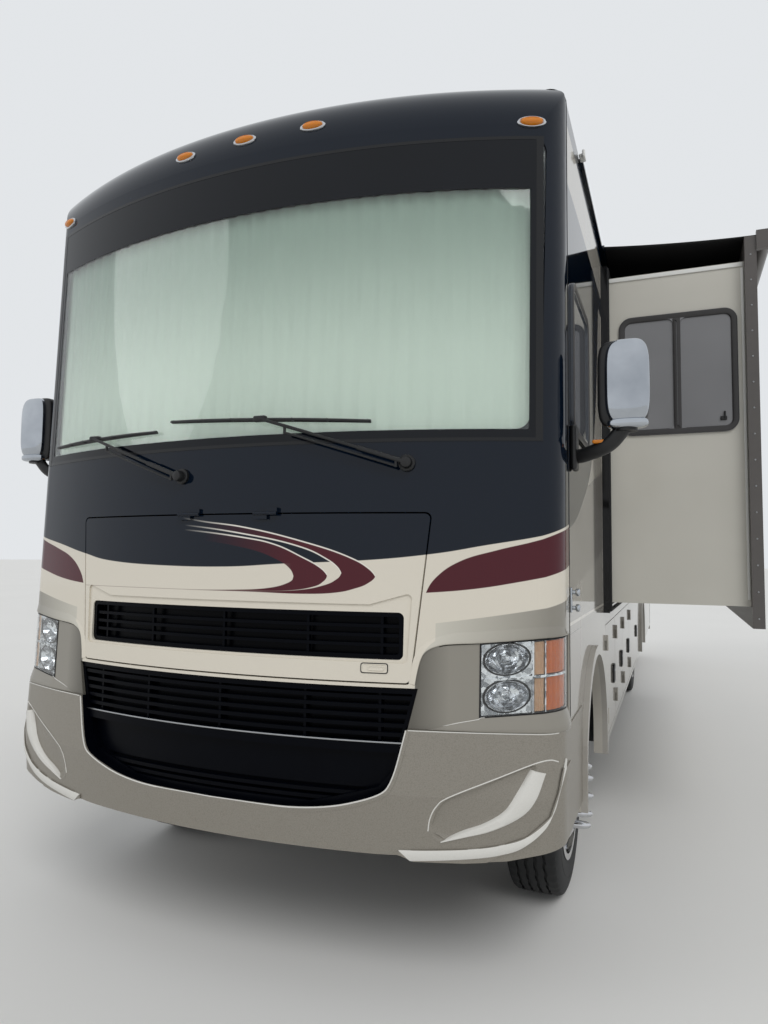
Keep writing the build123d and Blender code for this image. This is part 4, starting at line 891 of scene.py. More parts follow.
def makeShade():
    low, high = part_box("windshield_shade")
    reach = (high.x - low.x) / 2
    columns = shade["pleats"] * shade["perPleat"]
    rings = []
    for j in range(shade["rows"] + 1):
        z = low.z + (high.z - low.z) * j / shade["rows"]
        # the folds open and close a little on the way down
        fall = 1 - shade["slack"] + shade["slack"] * math.sin(j * shade["wave"])
        ring = []
        for i in range(columns + 1):
            fold = shade["depth"] * math.sin(2 * math.pi * shade["pleats"] * i / columns) * fall
            ring.append(onBow(-reach + 2 * reach * i / columns, z, -shade["inset"] - fold))
        rings.append(ring)
    cloth = addPiece("windshieldCurtain", [skin(rings, closed=False, ends=False)], "house", "shade_cloth",
                     crease=180)
    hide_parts("windshield_shade")


# Wheels: treaded tyres, and chromed caps over the wheel nuts
tyre = {
    "radius": 0.457, "width": 0.245, "steps": 150, "shoulder": 0.008,
    "grooves": [(-0.060, 0.005), (-0.020, 0.006), (0.020, 0.006), (0.060, 0.005)],      # x and half width
    "grooveDeep": 0.011, "wall": 0.001, "zigzag": 0.0022, "lugDeep": 0.006, "crown": 0.0035,
    "edgeIn": 0.030, "cornerIn": 0.020, "ribsTo": 0.08,
    # sidewall from the bead outward: how far in from the widest place, and the radius
    "sidewall": [(0.018, 0.286), (0.008, 0.300), (0.003, 0.318), (0, 0.345), (0, 0.372), (0.0015, 0.3722),
                 (0.0015, 0.3760), (0, 0.3762), (0.001, 0.395), (0.004, 0.415), (0.009, 0.430),
                 (0.015, 0.443)],
}
wheels = {      # place: its side, the node of the tyres and the node of the rims
    "front_left": (1, "tyre_front_left", "rim_front_left"),
    "front_right": (-1, "tyre_front_right", "rim_front_right"),
    "rear_left": (1, "tyres_rear_left", "rims_rear_left"),
    "rear_right": (-1, "tyres_rear_right", "rims_rear_right"),
}


def joinedName(start, node):
    return start + "".join(word.capitalize() for word in node.split("_"))


def tyreShell(centre):
    wide = tyre["width"] / 2
    edge = wide - tyre["edgeIn"]
    outline = [(wide - inset, r) for inset, r in tyre["sidewall"]]
    columns = [(-edge, 0)]      # x over the tread, and whether that line lies in a groove
    for x, half in tyre["grooves"]:
        columns += [(x - half - tyre["wall"], 0), (x - half, 1), (x + half, 1), (x + half + tyre["wall"], 0)]
    columns.append((edge, 0))
    rings = []
    for n in range(tyre["steps"]):
        a = 2 * math.pi * n / tyre["steps"]
        sway = tyre["zigzag"] * (1 if n % 4 < 2 else -1)
        lug = tyre["lugDeep"] if n % 3 == 0 else 0.0
        corner = tyre["radius"] - tyre["shoulder"] - lug
        profile = [(-x, r) for x, r in outline]
        profile.append((-wide + tyre["cornerIn"], corner))
        for x, groove in columns:
            sunk, shift = tyre["grooveDeep"] if groove else 0.0, sway
            if abs(x) > tyre["ribsTo"]:
                sunk, shift = lug, 0
            profile.append((x + shift, tyre["radius"] - tyre["crown"] * (x / wide) ** 2 - sunk))
        profile.append((wide - tyre["cornerIn"], corner))
        profile += [(x, r) for x, r in reversed(outline)]
        rings.append([centre + Vector((x, r * math.cos(a), r * math.sin(a))) for x, r in profile])
    return skin(rings, ends=False, loop=True)


def makeTyres():
    half = tyre["width"] / 2
    for place, row in wheels.items():
        node = row[1]
        low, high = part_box(node)
        middle = (low + high) / 2
        centres = [middle]
        if "rear" in place:      # twins
            centres = [Vector((x, middle.y, middle.z)) for x in (low.x + half, high.x - half)]
        piece = addPiece(joinedName("treaded", node), [tyreShell(centre) for centre in centres],
                         "wheel_" + place, "tyre_rubber", crease=28)
        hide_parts(node)


nutCap = {"circle": 0.143, "radius": 0.0185, "length": 0.080, "count": 10, "sunkFront": 0.062,
          "sunkRear": 0.2405}


def makeWheelTrim():
    r, long = nutCap["radius"], nutCap["length"]
    profile = [(0, 0.0), (0, r * 1.35), (0.006, r * 1.35), (0.010, r), (long * 0.72, r * 0.92),
               (long * 0.90, r * 0.70), (long, r * 0.25), (long, 0.0)]
    for place, (side, node, rims) in wheels.items():
        low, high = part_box(rims)
        tyreLow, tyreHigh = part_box(node)
        axle = (tyreLow + tyreHigh) / 2
        face = high.x if side > 0 else low.x
        start = face - side * (nutCap["sunkFront"] if "front" in place else nutCap["sunkRear"])
        shells = []
        for n in range(nutCap["count"]):
            a = math.radians(360 / nutCap["count"] * (n + 0.5))
            foot = Vector((start, axle.y + nutCap["circle"] * math.cos(a),
                           axle.z + nutCap["circle"] * math.sin(a)))
            shells.append(turnedX(profile, foot, 18, side))
        addPiece(joinedName("wheelCaps", rims), shells, "wheel_" + place, "chrome_wheel", crease=40)


# Mirrors: chromed cover in a black shell, black arm and foot, amber lamp under the arm
mirror = {
    "middle": (1.497, 0.030, 2.262),
    # place from the middle, size and squareness
    "cover": [((0.004, -0.012, 0.010), (0.162, 0.080, 0.320), 4.0),
              ((0.004, -0.010, -0.150), (0.150, 0.080, 0.042), 3.0)],
    "shell": ((-0.012, 0.014, 0.006), (0.186, 0.078, 0.334), 5.0),
    "glass": (0.146, 0.318, 0.022), "glassBack": 0.050,
    "glassSection": [(0, 0), (0.001, 0.004), (0.070, 0.004), (0.070, 0)],
    "arm": [(1.290, 0.105, 2.005), (1.340, 0.085, 2.010), (1.430, 0.050, 2.040), (1.488, 0.036, 2.100)],
    "armRadius": 0.024, "armSquash": 1.25,
    "cup": (1.497, 0.032), "cupHeights": (2.084, 2.090, 2.104, 2.112), "cupRadius": 0.040,
    "foot": (0.0135, 0.105, 2.040), "footSize": (0.026, 0.088, 0.178),
    "lamp": (1.400, 0.046, 2.052), "lampSize": (0.060, 0.030, 0.014),
    "footBevel": 0.011, "lampBevel": 0.006, "facets": (22, 40),
}


def crownedShell(middle, size, power):
    # a superellipsoid: nearly a box, but every face is crowned
    def bent(value):
        return math.copysign(abs(value) ** (2 / power), value)

    rows, columns = mirror["facets"]
    rings = []
    for i in range(rows + 1):
        lift = -math.pi / 2 + math.pi * i / rows
        ring = []
        for j in range(columns):
            turn = 2 * math.pi * j / columns
            flat = bent(math.cos(lift))
            ring.append(middle + Vector((size[0] / 2 * flat * bent(math.cos(turn)),
                                         size[1] / 2 * flat * bent(math.sin(turn)),
                                         size[2] / 2 * bent(math.sin(lift)))))
        rings.append(ring)
    return skin(rings, ends=False)


def makeMirrors():
    for side, name in ((1, "Left"), (-1, "Right")):
        def placed(x, y, z, side=side):
            return at(side * x, y, z)

        middle = placed(*mirror["middle"])

        def crowned(spot, size, power, side=side, middle=middle):
            return crownedShell(middle + Vector((side * spot[0], spot[1], spot[2])), size, power)

        cover = [crowned(*row) for row in mirror["cover"]]
        addPiece("mirrorHead" + name, cover, "house", "mirror_housing", crease=40)
        glass = frameRing(middle + Vector((0, mirror["glassBack"], 0)), *mirror["glass"],
                          mirror["glassSection"], "+y")
        addPiece("mirrorGlass" + name, [glass], "house", "mirror_housing", crease=40)
        path = smoothPath([placed(*p) for p in mirror["arm"]])
        arm = tube(path, mirror["armRadius"], 14, mirror["armSquash"])
        out, y, z = mirror["foot"]
        foot = puffBox(placed(halfWidth + out, y, z), mirror["footSize"], mirror["footBevel"])
        cup = tube([placed(*mirror["cup"], z) for z in mirror["cupHeights"]], mirror["cupRadius"], 20)
        shells = [arm, foot, cup, crowned(*mirror["shell"])]
        piece = addPiece("mirrorArm" + name, shells, "house", "black_trim", crease=40)
        lamp = puffBox(placed(*mirror["lamp"]), mirror["lampSize"], mirror["lampBevel"])
        addPiece("mirrorLamp" + name, [lamp], "house", "amber_lens", crease=40)
        if side > 0:
            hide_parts("mirrors")


# Window frames, the slide-out's and the wider ones with a bar between their two panes, and the catches of the
# slide-out's end panes
windowFrame = {
    "section": [(0.000, 0.000), (0.000, 0.008), (0.004, 0.0115), (0.026, 0.0115), (0.032, 0.008),
                (0.034, 0.001), (0.034, 0.000)],
    "bar": [(0, 0), (0, 0.0095), (0.003, 0.011), (0.019, 0.011), (0.019, 0)],
    "barWide": 0.040, "barShort": 0.06, "barCorner": 0.004, "overlap": 0.044, "corner": 0.078, "gap": 1 * mm,
    # y0, y1, z0 and z1 of the openings in each wall
    "left": [(0.140, 0.680, 2.130, 2.720), (7.300, 8.300, 2.200, 2.760)],
    "right": [(0.140, 0.680, 2.130, 2.720), (2.900, 4.100, 2.150, 2.850), (7.300, 8.300, 2.200, 2.760)],
    "rear": (10.221, 2.450), "rearSize": (1.084, 0.644),
    "slideWide": [(2.000, 3.200), (3.700, 4.900)], "slideEndX": 1.690, "slideEndWide": 0.620,
    "slideZ": 2.655, "slideHigh": 0.690, "slideCorner": 0.070,
}
# each part of a catch: how far along and out, its height, its size and its bevel
catch = {"xs": (1.452, 1.922), "base": (0, 0.004, 2.384, (0.034, 0.016, 0.022), 0.004),
         "lever": (0.006, 0.010, 2.402, (0.010, 0.012, 0.040), 0.003)}


def makeWindowFrames():
    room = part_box("slide_room")
    gap, corner = windowFrame["gap"], windowFrame["corner"]
    roomHigh, roomCorner = windowFrame["slideHigh"], windowFrame["slideCorner"]
    table = []       # name, body, middle, wide, high, corner radius, facing
    for name, side, facing in (("left", 1, "+x"), ("right", -1, "-x")):
        for n, (y0, y1, z0, z1) in enumerate(windowFrame[name]):
            table.append((f"{name}{n}", "house", at(side * (halfWidth + gap), (y0 + y1) / 2, (z0 + z1) / 2),
                          y1 - y0 + windowFrame["overlap"], z1 - z0 + windowFrame["overlap"], corner, facing))
    table.append(("rear", "house", at(0, *windowFrame["rear"]), *windowFrame["rearSize"], corner, "+y"))
    for n, (y0, y1) in enumerate(windowFrame["slideWide"]):
        middle = at(0, (y0 + y1) / 2, windowFrame["slideZ"])
        middle.x = room[1].x + gap
        table.append((f"slideWide{n}", "slide_out", middle, y1 - y0, roomHigh, roomCorner, "+x"))
    catches = []
    for n, (y, turn, facing) in enumerate(((room[0].y, -1, "-y"), (room[1].y, 1, "+y"))):
        middle = at(windowFrame["slideEndX"], 0, windowFrame["slideZ"])
        middle.y = y + turn * gap
        table.append((f"slideEnd{n}", "slide_out", middle, windowFrame["slideEndWide"], roomHigh, roomCorner,
                      facing))
        for x in catch["xs"]:
            for along, out, z, size, bevel in (catch["base"], catch["lever"]):
                catches.append(puffBox(Vector((middleX + x + along, y + turn * out, z)), size, bevel))
    addPiece("paneCatches", catches, "slide_out", "black_trim")
    for name, body, middle, wide, high, radius, facing in table:
        shells = [frameRing(middle, wide, high, radius, windowFrame["section"], facing)]
        if name.startswith("slide") or wide > 0.9:
            tall = high - windowFrame["barShort"]
            shells.append(frameRing(middle, windowFrame["barWide"], tall, windowFrame["barCorner"],
                                    windowFrame["bar"], facing))
        addPiece("windowFrame_" + name, shells, body, "slide_frame", "windowFrame", 40)


# Windshield's printed border with the dark band over the curtain, and the rubber moulding round the glass
# The glass is given as half its width and its height, at the bottom and the top
frit = {"side": 1.166, "low": 2.078, "high": 3.018, "out": 1.2 * mm, "thick": 1.0 * mm,
        "glassLow": (1.198, 2.043), "glassHigh": (1.199, 3.218)}
moulding = {"sides": (1.188, 1.2135), "heights": (2.034, 3.228), "bars": (2.0405, 3.2215), "halfBar": 0.0065,
            "sideProud": 0.0020, "barProud": 0.0021, "deep": 0.0030}


def makeFrit():
    (lowWide, lowZ), (highWide, highZ) = frit["glassLow"], frit["glassHigh"]

    def place(u, z, out):
        wide = lowWide + (highWide - lowWide) * (z - lowZ) / (highZ - lowZ)
        return onCap(u * wide, z, out + frit["out"])

    inner = frit["side"] / lowWide
    across = steps(-1, 1, 60)
    spans = [(across, steps(frit["high"], highZ, 6)), (across, steps(lowZ, frit["low"], 2))]
    spans += [(steps(side * inner, side, 3), steps(frit["low"], frit["high"], 24)) for side in (-1, 1)]
    shells = [plate(place, us, vs, 0, -frit["thick"]) for us, vs in spans]
    addPiece("windshieldFrit", shells, "house", "tinted_glass", "frit", 60)
    inner, outer = moulding["sides"]
    deep, half, proud = moulding["deep"], moulding["halfBar"], moulding["barProud"]
    shells = [plate(onCap, steps(side * inner, side * outer, 4), steps(*moulding["heights"], 24),
                    moulding["sideProud"], -deep) for side in (-1, 1)]
    shells += [plate(onCap, steps(-outer, outer, 60), steps(z - half, z + half, 2), proud, -deep)
               for z in moulding["bars"]]
    addPiece("windshieldMoulding", shells, "house", "black_trim", "moulding", 40)


# Headlamps: two stacked chromed bowls, amber blocks outboard, a bright bar between, a clear cover.
# u runs along the lamp from its inner edge (0) to its outer edge (1), v from the lower edge to the upper
headlamp = {
    "inner": 1.0045, "past": 0.034, "high": 0.259,
    "low": 1.0325, "lowRise": 0.028, "lowFrom": 1.003, "lowRun": 0.297,
    "bowlX": 1.097, "bowlWide": 0.072, "bowlSpan": 0.200,
    "cells": [(0.0, 0.488, 0.262), (0.512, 1.0, 0.764)],      # lower and upper edge, and the bowl's middle
    "surround": -0.014, "cellEnd": 1.181, "amberSplit": 1.226,
    "post": 0.018, "postDepths": (-0.006, -0.020), "fin": 0.006, "finDepths": (-0.005, -0.020),
    # share of the bowl's size, and depth: rim, bowl, and the bulb's hood in its middle
    "bowl": [(1.10, -0.014), (1.06, -0.009), (1.00, -0.009), (0.96, -0.016), (0.84, -0.036), (0.66, -0.050),
             (0.46, -0.058), (0.30, -0.061), (0.24, -0.056), (0.20, -0.036), (0.12, -0.032), (0.0, -0.031)],
    "gasket": [(1.03, -0.0085), (1.05, -0.0065), (1.15, -0.0115)],
    # u0, u1, columns, v0, v1, rows, front and back
    "bar": (0.0, 1.0, 40, 0.482, 0.518, 2, -0.004, -0.020),
    "borders": [(0.012, 0.988, 40, -0.004, 0.012, 1, -0.001, -0.024),
                (0.012, 0.988, 40, 0.988, 1.004, 1, -0.001, -0.024),
                (-0.002, 0.014, 1, 0.0, 1.0, 12, -0.001, -0.024),
                (0.970, 1.000, 2, 0.0, 1.0, 12, -0.001, -0.024),
                (0.0, 1.0, 30, 0.0, 1.0, 8, -0.064, -0.068)],
    "cover": (0.012, 0.972, 44, 0.010, 0.990, 12, -0.001, -0.0035),
    "amberFrom": 0.022, "amberGap": 0.010, "amberEnd": 0.966, "amberRows": [(0.030, 0.474), (0.526, 0.970)],
    "amberFront": -0.012, "amberBack": -0.020, "prism": 0.0022, "prisms": 5,
}


def lampLow(x):
    return headlamp["low"] + headlamp["lowRise"] * (x - headlamp["lowFrom"]) / headlamp["lowRun"]


def lampPlace(side):
    start = alongTo(headlamp["inner"])
    end = alongTo(halfWidth) + headlamp["past"]

    def place(u, v, out):
        along = start + (end - start) * u
        z = lampLow(abs(onPlan(along, 0, 0).x - middleX)) + headlamp["high"] * v
        return onPlan(side * along, noseY(z), z, out)

    def share(x):
        return (alongTo(x) - start) / (end - start)

    return place, share


def reachOf(direction, low, high):
    # how far a ray from 0 goes until it meets low or high
    if abs(direction) < 1e-6:
        return 9
    return (high if direction > 0 else low) / direction


def bowlCell(place, middle, span, box):
    # a flat chromed surround that runs into an oval bowl; box is (u0, u1, v0, v1)
    uMid, vMid = middle
    u0, u1, v0, v1 = box
    rings = []
    for n in range(48):
        a = 2 * math.pi * n / 48
        c, s = math.cos(a), math.sin(a)
        reach = min(reachOf(c, u0 - uMid, u1 - uMid), reachOf(s, v0 - vMid, v1 - vMid))
        ring = [place(uMid + c * reach, vMid + s * reach, headlamp["surround"])]
        ring += [place(uMid + c * span[0] * t, vMid + s * span[1] * t, out) for t, out in headlamp["bowl"]]
        rings.append(ring)
    return skin(rings, closed=False, ends=False, loop=True)


def makeHeadlamps():
    for side, name in ((1, "Left"), (-1, "Right")):
        place, share = lampPlace(side)

        def slab(u0, u1, columns, v0, v1, rows, front, back, place=place):
            return plate(place, steps(u0, u1, columns), steps(v0, v1, rows), front, back)

        cell, split, uMid = (share(headlamp[key]) for key in ("cellEnd", "amberSplit", "bowlX"))
        span = (uMid - share(headlamp["bowlX"] - headlamp["bowlWide"]), headlamp["bowlSpan"])
        chrome = [bowlCell(place, (uMid, vMid), span, (0.0, cell, v0, v1))
                  for v0, v1, vMid in headlamp["cells"]]
        chrome.append(slab(*headlamp["bar"]))
        chrome.append(slab(cell, cell + headlamp["post"], 2, 0.0, 1.0, 12, *headlamp["postDepths"]))
        fin = headlamp["fin"]
        chrome.append(slab(split - fin, split + fin, 1, 0.0, 1.0, 12, *headlamp["finDepths"]))
        tray = addPiece("lampBowls" + name, chrome, "house", "lamp_lens", crease=12)
        if side > 0:
            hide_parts("headlamps")
        dark = []
        for v0, v1, vMid in headlamp["cells"]:
            rings = []
            for n in range(49):
                a = 2 * math.pi * n / 48
                rings.append([place(uMid + math.cos(a) * span[0] * t, vMid + math.sin(a) * span[1] * t, out)
                              for t, out in headlamp["gasket"]])
            dark.append(skin(rings, closed=False, ends=False))
        dark += [slab(*row) for row in headlamp["borders"]]
        addPiece("lampGasket" + name, dark, "house", "black_trim", "sealRubber")
        for tone, u0, u1 in (("paleAmber", cell + headlamp["amberFrom"], split - headlamp["amberGap"]),
                             ("deepAmber", split + headlamp["amberGap"], headlamp["amberEnd"])):
            def prism(u, v, u0=u0, u1=u1):
                turn = (u - u0) / (u1 - u0) * math.pi * headlamp["prisms"]
                return headlamp["amberFront"] + headlamp["prism"] * abs(math.sin(turn))

            blocks = [slab(u0, u1, 48, v0, v1, 10, prism, headlamp["amberBack"])
                      for v0, v1 in headlamp["amberRows"]]
            addPiece(tone + "Blocks" + name, blocks, "house", "amber_lens", tone)
        addPiece("lampCover" + name, [slab(*headlamp["cover"])], "house", "lamp_lens", "clearLens")


# Cheeks: the rolled lip round the lamp and its recess, the recess's floor, the ledge under the lamp
cheek = {
    "lip": [(0.784, 1.142), (0.793, 1.200), (0.803, 1.238), (0.819, 1.261), (0.845, 1.276), (0.884, 1.2865),
            (0.940, 1.291), (1.012, 1.2955), (1.139, 1.3075), (1.230, 1.3165), (1.285, 1.3205)],
    # the lip's end round the corner: how far past it, and z
    "lipEnd": [(0.026, 1.3215), (0.0350, 1.3150), (0.0370, 1.295), (0.0370, 1.200), (0.0370, 1.080),
               (0.0370, 0.990)],
    "floor": [(0.7625, 0.9875), (0.778, 1.060), (0.7945, 1.130), (0.7965, 1.200), (0.8065, 1.238),
              (0.8225, 1.257), (0.848, 1.272), (0.886, 1.2825), (0.940, 1.2870), (1.003, 1.2915)],
    "floorLow": 0.9870, "floorHigh": 0.3050, "floorSunk": 0.0040, "sunkFrom": (0.80, 0.20),
    "floorDepths": (0.0009, -0.0060),
    "ledge": [(0.830, 0.9875), (0.923, 1.010), (1.002, 1.0265)],
    "ledgeFrom": 1.010, "ledgeEnd": 0.0365, "ledgeLow": 0.9855, "ledgeGap": 0.0005, "ledgeGrows": 0.180,
    "creaseUp": 0.0005, "creaseOut": -0.0022, "creaseRadius": 0.0018,
    # share of the ledge's height, how far it stands out where it is full, and besides
    "ledgeSection": [(0.0, 0, -0.006), (0.0, 0.0105, 0.0010), (0.10, 0.0125, 0.0012), (0.30, 0.0105, 0.0010),
                     (0.70, 0.0045, -0.0005), (0.94, 0.0010, -0.0018), (1.0, -0.0020, -0.0010),
                     (1.0, 0, -0.010)],
    # the lip's width at the grille, over the lamp and at the end; each change's start and length
    "rise": 4.6 * mm, "wideIn": 0.026, "wide": 0.045, "wideOut": 0.012,
    "widens": (0.82, 0.12), "narrows": (0.060, 0.080),
}


def lipRing(place, along, z, normal, corner):
    # the rolled lip's section at one place
    start, run = cheek["widens"]
    wide = cheek["wideIn"] + (cheek["wide"] - cheek["wideIn"]) * upTo((along - start) / run)
    before, run = cheek["narrows"]
    wide += (cheek["wideOut"] - wide) * upTo((along - corner + before) / run)
    rise = cheek["rise"]
    section = [(-0.0040, -0.0140), (-0.0012, -0.0030), (0.0, rise * 0.50), (0.0018, rise * 0.88),
               (0.0045, rise), (0.30 * wide, rise * 0.90), (0.65 * wide, rise * 0.42), (wide, -0.0008)]
    return [place(along - normal[0] * d, z - normal[1] * d, out) for d, out in section]


def makeCheeks():
    corner = alongTo(halfWidth)
    line = [(alongTo(x), z) for x, z in cheek["lip"]] + [(corner + past, z) for past, z in cheek["lipEnd"]]
    line = smoothPairs(line, 6)
    edge = smoothPairs(cheek["floor"], 5)
    top = smoothPairs([(alongTo(x), z) for x, z in cheek["ledge"]], 5)
    for along in steps(alongTo(cheek["ledgeFrom"]), corner + cheek["ledgeEnd"], 30):
        top.append((along, lampLow(abs(onPlan(along, 0, 0).x - middleX)) - cheek["ledgeGap"]))
    low = cheek["ledgeLow"]
    sunkStart, sunkRun = cheek["sunkFrom"]
    lips, floors, creases = [], [], []
    for side in (1, -1):
        def place(along, z, out, side=side):
            return onPlan(side * along, noseY(z), z, out)

        def floorPlace(u, v, out, place=place):
            x0, z0 = edge[round(v * (len(edge) - 1))]
            x = x0 + (headlamp["inner"] - x0) * u
            z = z0 + (cheek["floorLow"] + cheek["floorHigh"] * v - z0) * u
            share = upTo((x - sunkStart) / sunkRun)
            return place(alongTo(x), z, out - cheek["floorSunk"] * share * share * (3 - 2 * share))

        lips.append(skin([lipRing(place, along, z, normal, corner)
                          for (along, z), normal in zip(line, normals(line))]))
        floors.append(plate(floorPlace, steps(0, 1, 24), steps(0, 1, len(edge) - 1), *cheek["floorDepths"]))
        rings = []
        for along, z in top:
            full = upTo((along - top[0][0]) / cheek["ledgeGrows"])
            rings.append([place(along, low + (z - low) * t, grow * full + out)
                          for t, grow, out in cheek["ledgeSection"]])
        floors.append(skin(rings))
        path = [place(along, z + cheek["creaseUp"], cheek["creaseOut"]) for along, z in top[:13]]
        creases.append(tube(path, cheek["creaseRadius"], 6))
    addPiece("cheekLips", lips, "house", "painted_cap", crease=60)
    addPiece("cheekFloors", floors, "house", "painted_cap", crease=60)
    # the creases under the lamps are finished near white: a painted highlight along each crease
    addPiece("cheekCreases", creases, "house", "painted_cap", "silverPaintedHighlight")


# Bumper corners: the silver blade in the scoop and the strip on the lip, each between two edges; both painted
# near white, partly their own silver and partly a painted highlight of the sky
brightwork = {
    "blade": ([(0.880, 0.603), (0.960, 0.624), (1.054, 0.652), (1.149, 0.704), (1.197, 0.763),
               (1.228, 0.852)],
              [(0.880, 0.606), (0.953, 0.643), (1.028, 0.674), (1.095, 0.718), (1.139, 0.785),
               (1.180, 0.862)]),
    "bladeSection": [(0.0, -0.004), (0.0, 0.003), (0.12, 0.0058), (0.70, 0.0048), (0.84, 0.001),
                     (1.0, -0.0125), (1.0, -0.016)],
    "strip": ([(0.735, 0.567), (0.860, 0.574), (0.991, 0.586), (1.086, 0.604), (1.165, 0.633), (1.241, 0.702),
               (1.266, 0.778), (1.2835, 0.890)],
              [(0.775, 0.532), (0.870, 0.540), (0.991, 0.553), (1.074, 0.568), (1.149, 0.595), (1.222, 0.660),
               (1.256, 0.745), (1.2815, 0.850)]),
    "stripSection": [(0.0, 0.001), (0.0, 0.0055), (0.12, 0.0075), (0.88, 0.0085), (1.0, 0.0065),
                     (1.0, 0.001)],
}


def makeBrightwork():
    shells = []
    for side in (1, -1):
        def place(x, z, out, side=side):
            return onBumper(side * x, z, out)

        for part in ("blade", "strip"):
            outer, inner = (smoothPairs(line, 8) for line in brightwork[part])
            shells.append(ribbon(outer, inner, place, brightwork[part + "Section"]))
    # near-white finish: silver trim with a painted highlight of the sky
    addPiece("bumperBrightwork", shells, "house", "painted_bumper", "silverPaintedHighlight")


# The scoop's rolled edge and floor, a leaf about its own middle
scoop = {
    "middle": (1.020, 0.735), "floor": -0.0135,
    "leaf": [(0.905, 0.606), (1.030, 0.651), (1.112, 0.698), (1.160, 0.779), (1.198, 0.850), (1.204, 0.876),
             (1.178, 0.878), (1.050, 0.824), (0.912, 0.764), (0.872, 0.728), (0.848, 0.680), (0.848, 0.638),
             (0.868, 0.612), (0.905, 0.606)],
    # how far past the leaf's edge, and how far out
    "roll": [(0.007, -0.002), (0.007, 0.0006), (-0.001, 0.0012), (-0.006, -0.001), (-0.012, -0.006),
             (-0.020, -0.0110), (-0.034, -0.0135)],
    "upper": [(0.838, 0.640), (0.846, 0.685), (0.869, 0.729), (0.912, 0.763), (1.070, 0.832), (1.190, 0.883),
              (1.240, 0.895), (1.266, 0.886)],
}


def makeScoops():
    middleAcross, middleUp = scoop["middle"]
    shells = []
    for side in (1, -1):
        rings = []
        for x, z in smoothPairs(scoop["leaf"], 6)[:-1]:
            dx, dz = x - middleAcross, z - middleUp
            reach = math.hypot(dx, dz)
            section = [((reach + past) / reach, out) for past, out in scoop["roll"]]
            section += [(t, scoop["floor"]) for t in (0.5, 0.25, 0.0)]
            rings.append([onBumper(side * (middleAcross + dx * t), middleUp + dz * t, out)
                          for t, out in section])
        shells.append(skin(rings, closed=False, ends=False, loop=True))
    addPiece("scoopLiners", shells, "house", "painted_bumper", crease=60)


# The lower grille's opening: rolled lips, beads painted near white as painted highlights along the edges, the
# returns behind them and the line in the gap
opening = {
    "corners": [(0.0, 0.680), (0.427, 0.680), (0.672, 0.748), (0.716, 0.802), (0.754, 0.965), (0.758, 0.983)],
    "proudFrom": (0.25, 0.09), "lipFrom": 0.24, "lipTop": 0.9845, "lift": 0.0039, "sunk": 0.0025,
    "rimSunk": -0.0034, "rimLift": 0.0030, "rimRadius": 0.0030,
    "topBead": (0.765, 1.286), "topBeadZ": 0.9832, "topBeadOut": -0.0003, "topBeadRadius": 0.0020,
    "scoopBeadOut": -0.0005, "scoopBeadRadius": 0.0026,
    "deep": (-0.010, -0.056), "shrink": 0.9965, "raise": 0.0025,
    "backing": (0.740, 1.205, 1.415), "backingDepths": (-0.060, -0.066),      # half width, low and high
    "line": 0.742, "lineFrom": 0.985, "lineOut": -0.022, "lineZ": 0.9315, "lineDepth": -0.0285,
    "lineRadius": 0.0028,
}


def outOfBow(x):
    # the rim stands proud only where the bow falls away from the foremost line
    start, run = opening["proudFrom"]
    return upTo((abs(x) - start) / run)


def bothSides(line):
    return [(-x, z) for x, z in reversed(line[1:])] + line


def makeGrilleOpening():
    rolled = cornered(opening["corners"], 10)
    lips = []
    for side in (1, -1):
        rings = []
        for (x, z), (nx, nz) in zip(rolled, normals(rolled)):
            if x < opening["lipFrom"]:
                continue
            lift = opening["lift"] * outOfBow(x) - opening["sunk"]
            section = [(-0.0015, -0.008), (-0.001, -0.002), (0.001, lift - 0.0004), (0.004, lift),
                       (0.014, lift), (0.0165, -0.004)]
            rings.append([onBumper(side * (x + nx * d), min(z + nz * d, opening["lipTop"]), out)
                          for d, out in section])
        lips.append(skin(rings))
    addPiece("openingLips", lips, "house", "painted_bumper", crease=40)
    rim = [onBumper(x, z, opening["rimSunk"] + opening["rimLift"] * outOfBow(x))
           for x, z in bothSides(rolled)]
    beads = [tube(rim, opening["rimRadius"], 8)]
    for side in (1, -1):
        top = [onBumper(side * x, opening["topBeadZ"], opening["topBeadOut"])
               for x in steps(*opening["topBead"], 24)]
        beads.append(tube(top, opening["topBeadRadius"], 6))
        upper = [onBumper(side * x, z, opening["scoopBeadOut"]) for x, z in smoothPairs(scoop["upper"], 6)]
        beads.append(tube(upper, opening["scoopBeadRadius"], 6))
    # the beads are finished near white: a painted highlight of the sky on the rolled edges
    addPiece("bumperBeads", beads, "house", "painted_bumper", "silverPaintedHighlight")
    front, back = opening["deep"]
    rings = []
    for x, z in bothSides(opening["corners"]):
        inner = (x * opening["shrink"], z + opening["raise"])
        rings.append([onBumper(x, z, front), onBumper(x, z, back), onBumper(*inner, back),
                      onBumper(*inner, front)])
    wide, low, high = opening["backing"]
    backing = plate(onBow, steps(-wide, wide, 40), steps(low, high, 2), *opening["backingDepths"])
    addPiece("grilleReturn", [skin(rings), backing], "house", "black_grille")
    front = noseY(opening["lineFrom"]) + opening["lineOut"]
    line = [onPlan(alongTo(x), front, opening["lineZ"], opening["lineDepth"])
            for x in steps(-opening["line"], opening["line"], 60)]
    addPiece("grilleLine", [tube(line, opening["lineRadius"], 6)], "house", "black_grille", "bare_aluminium")


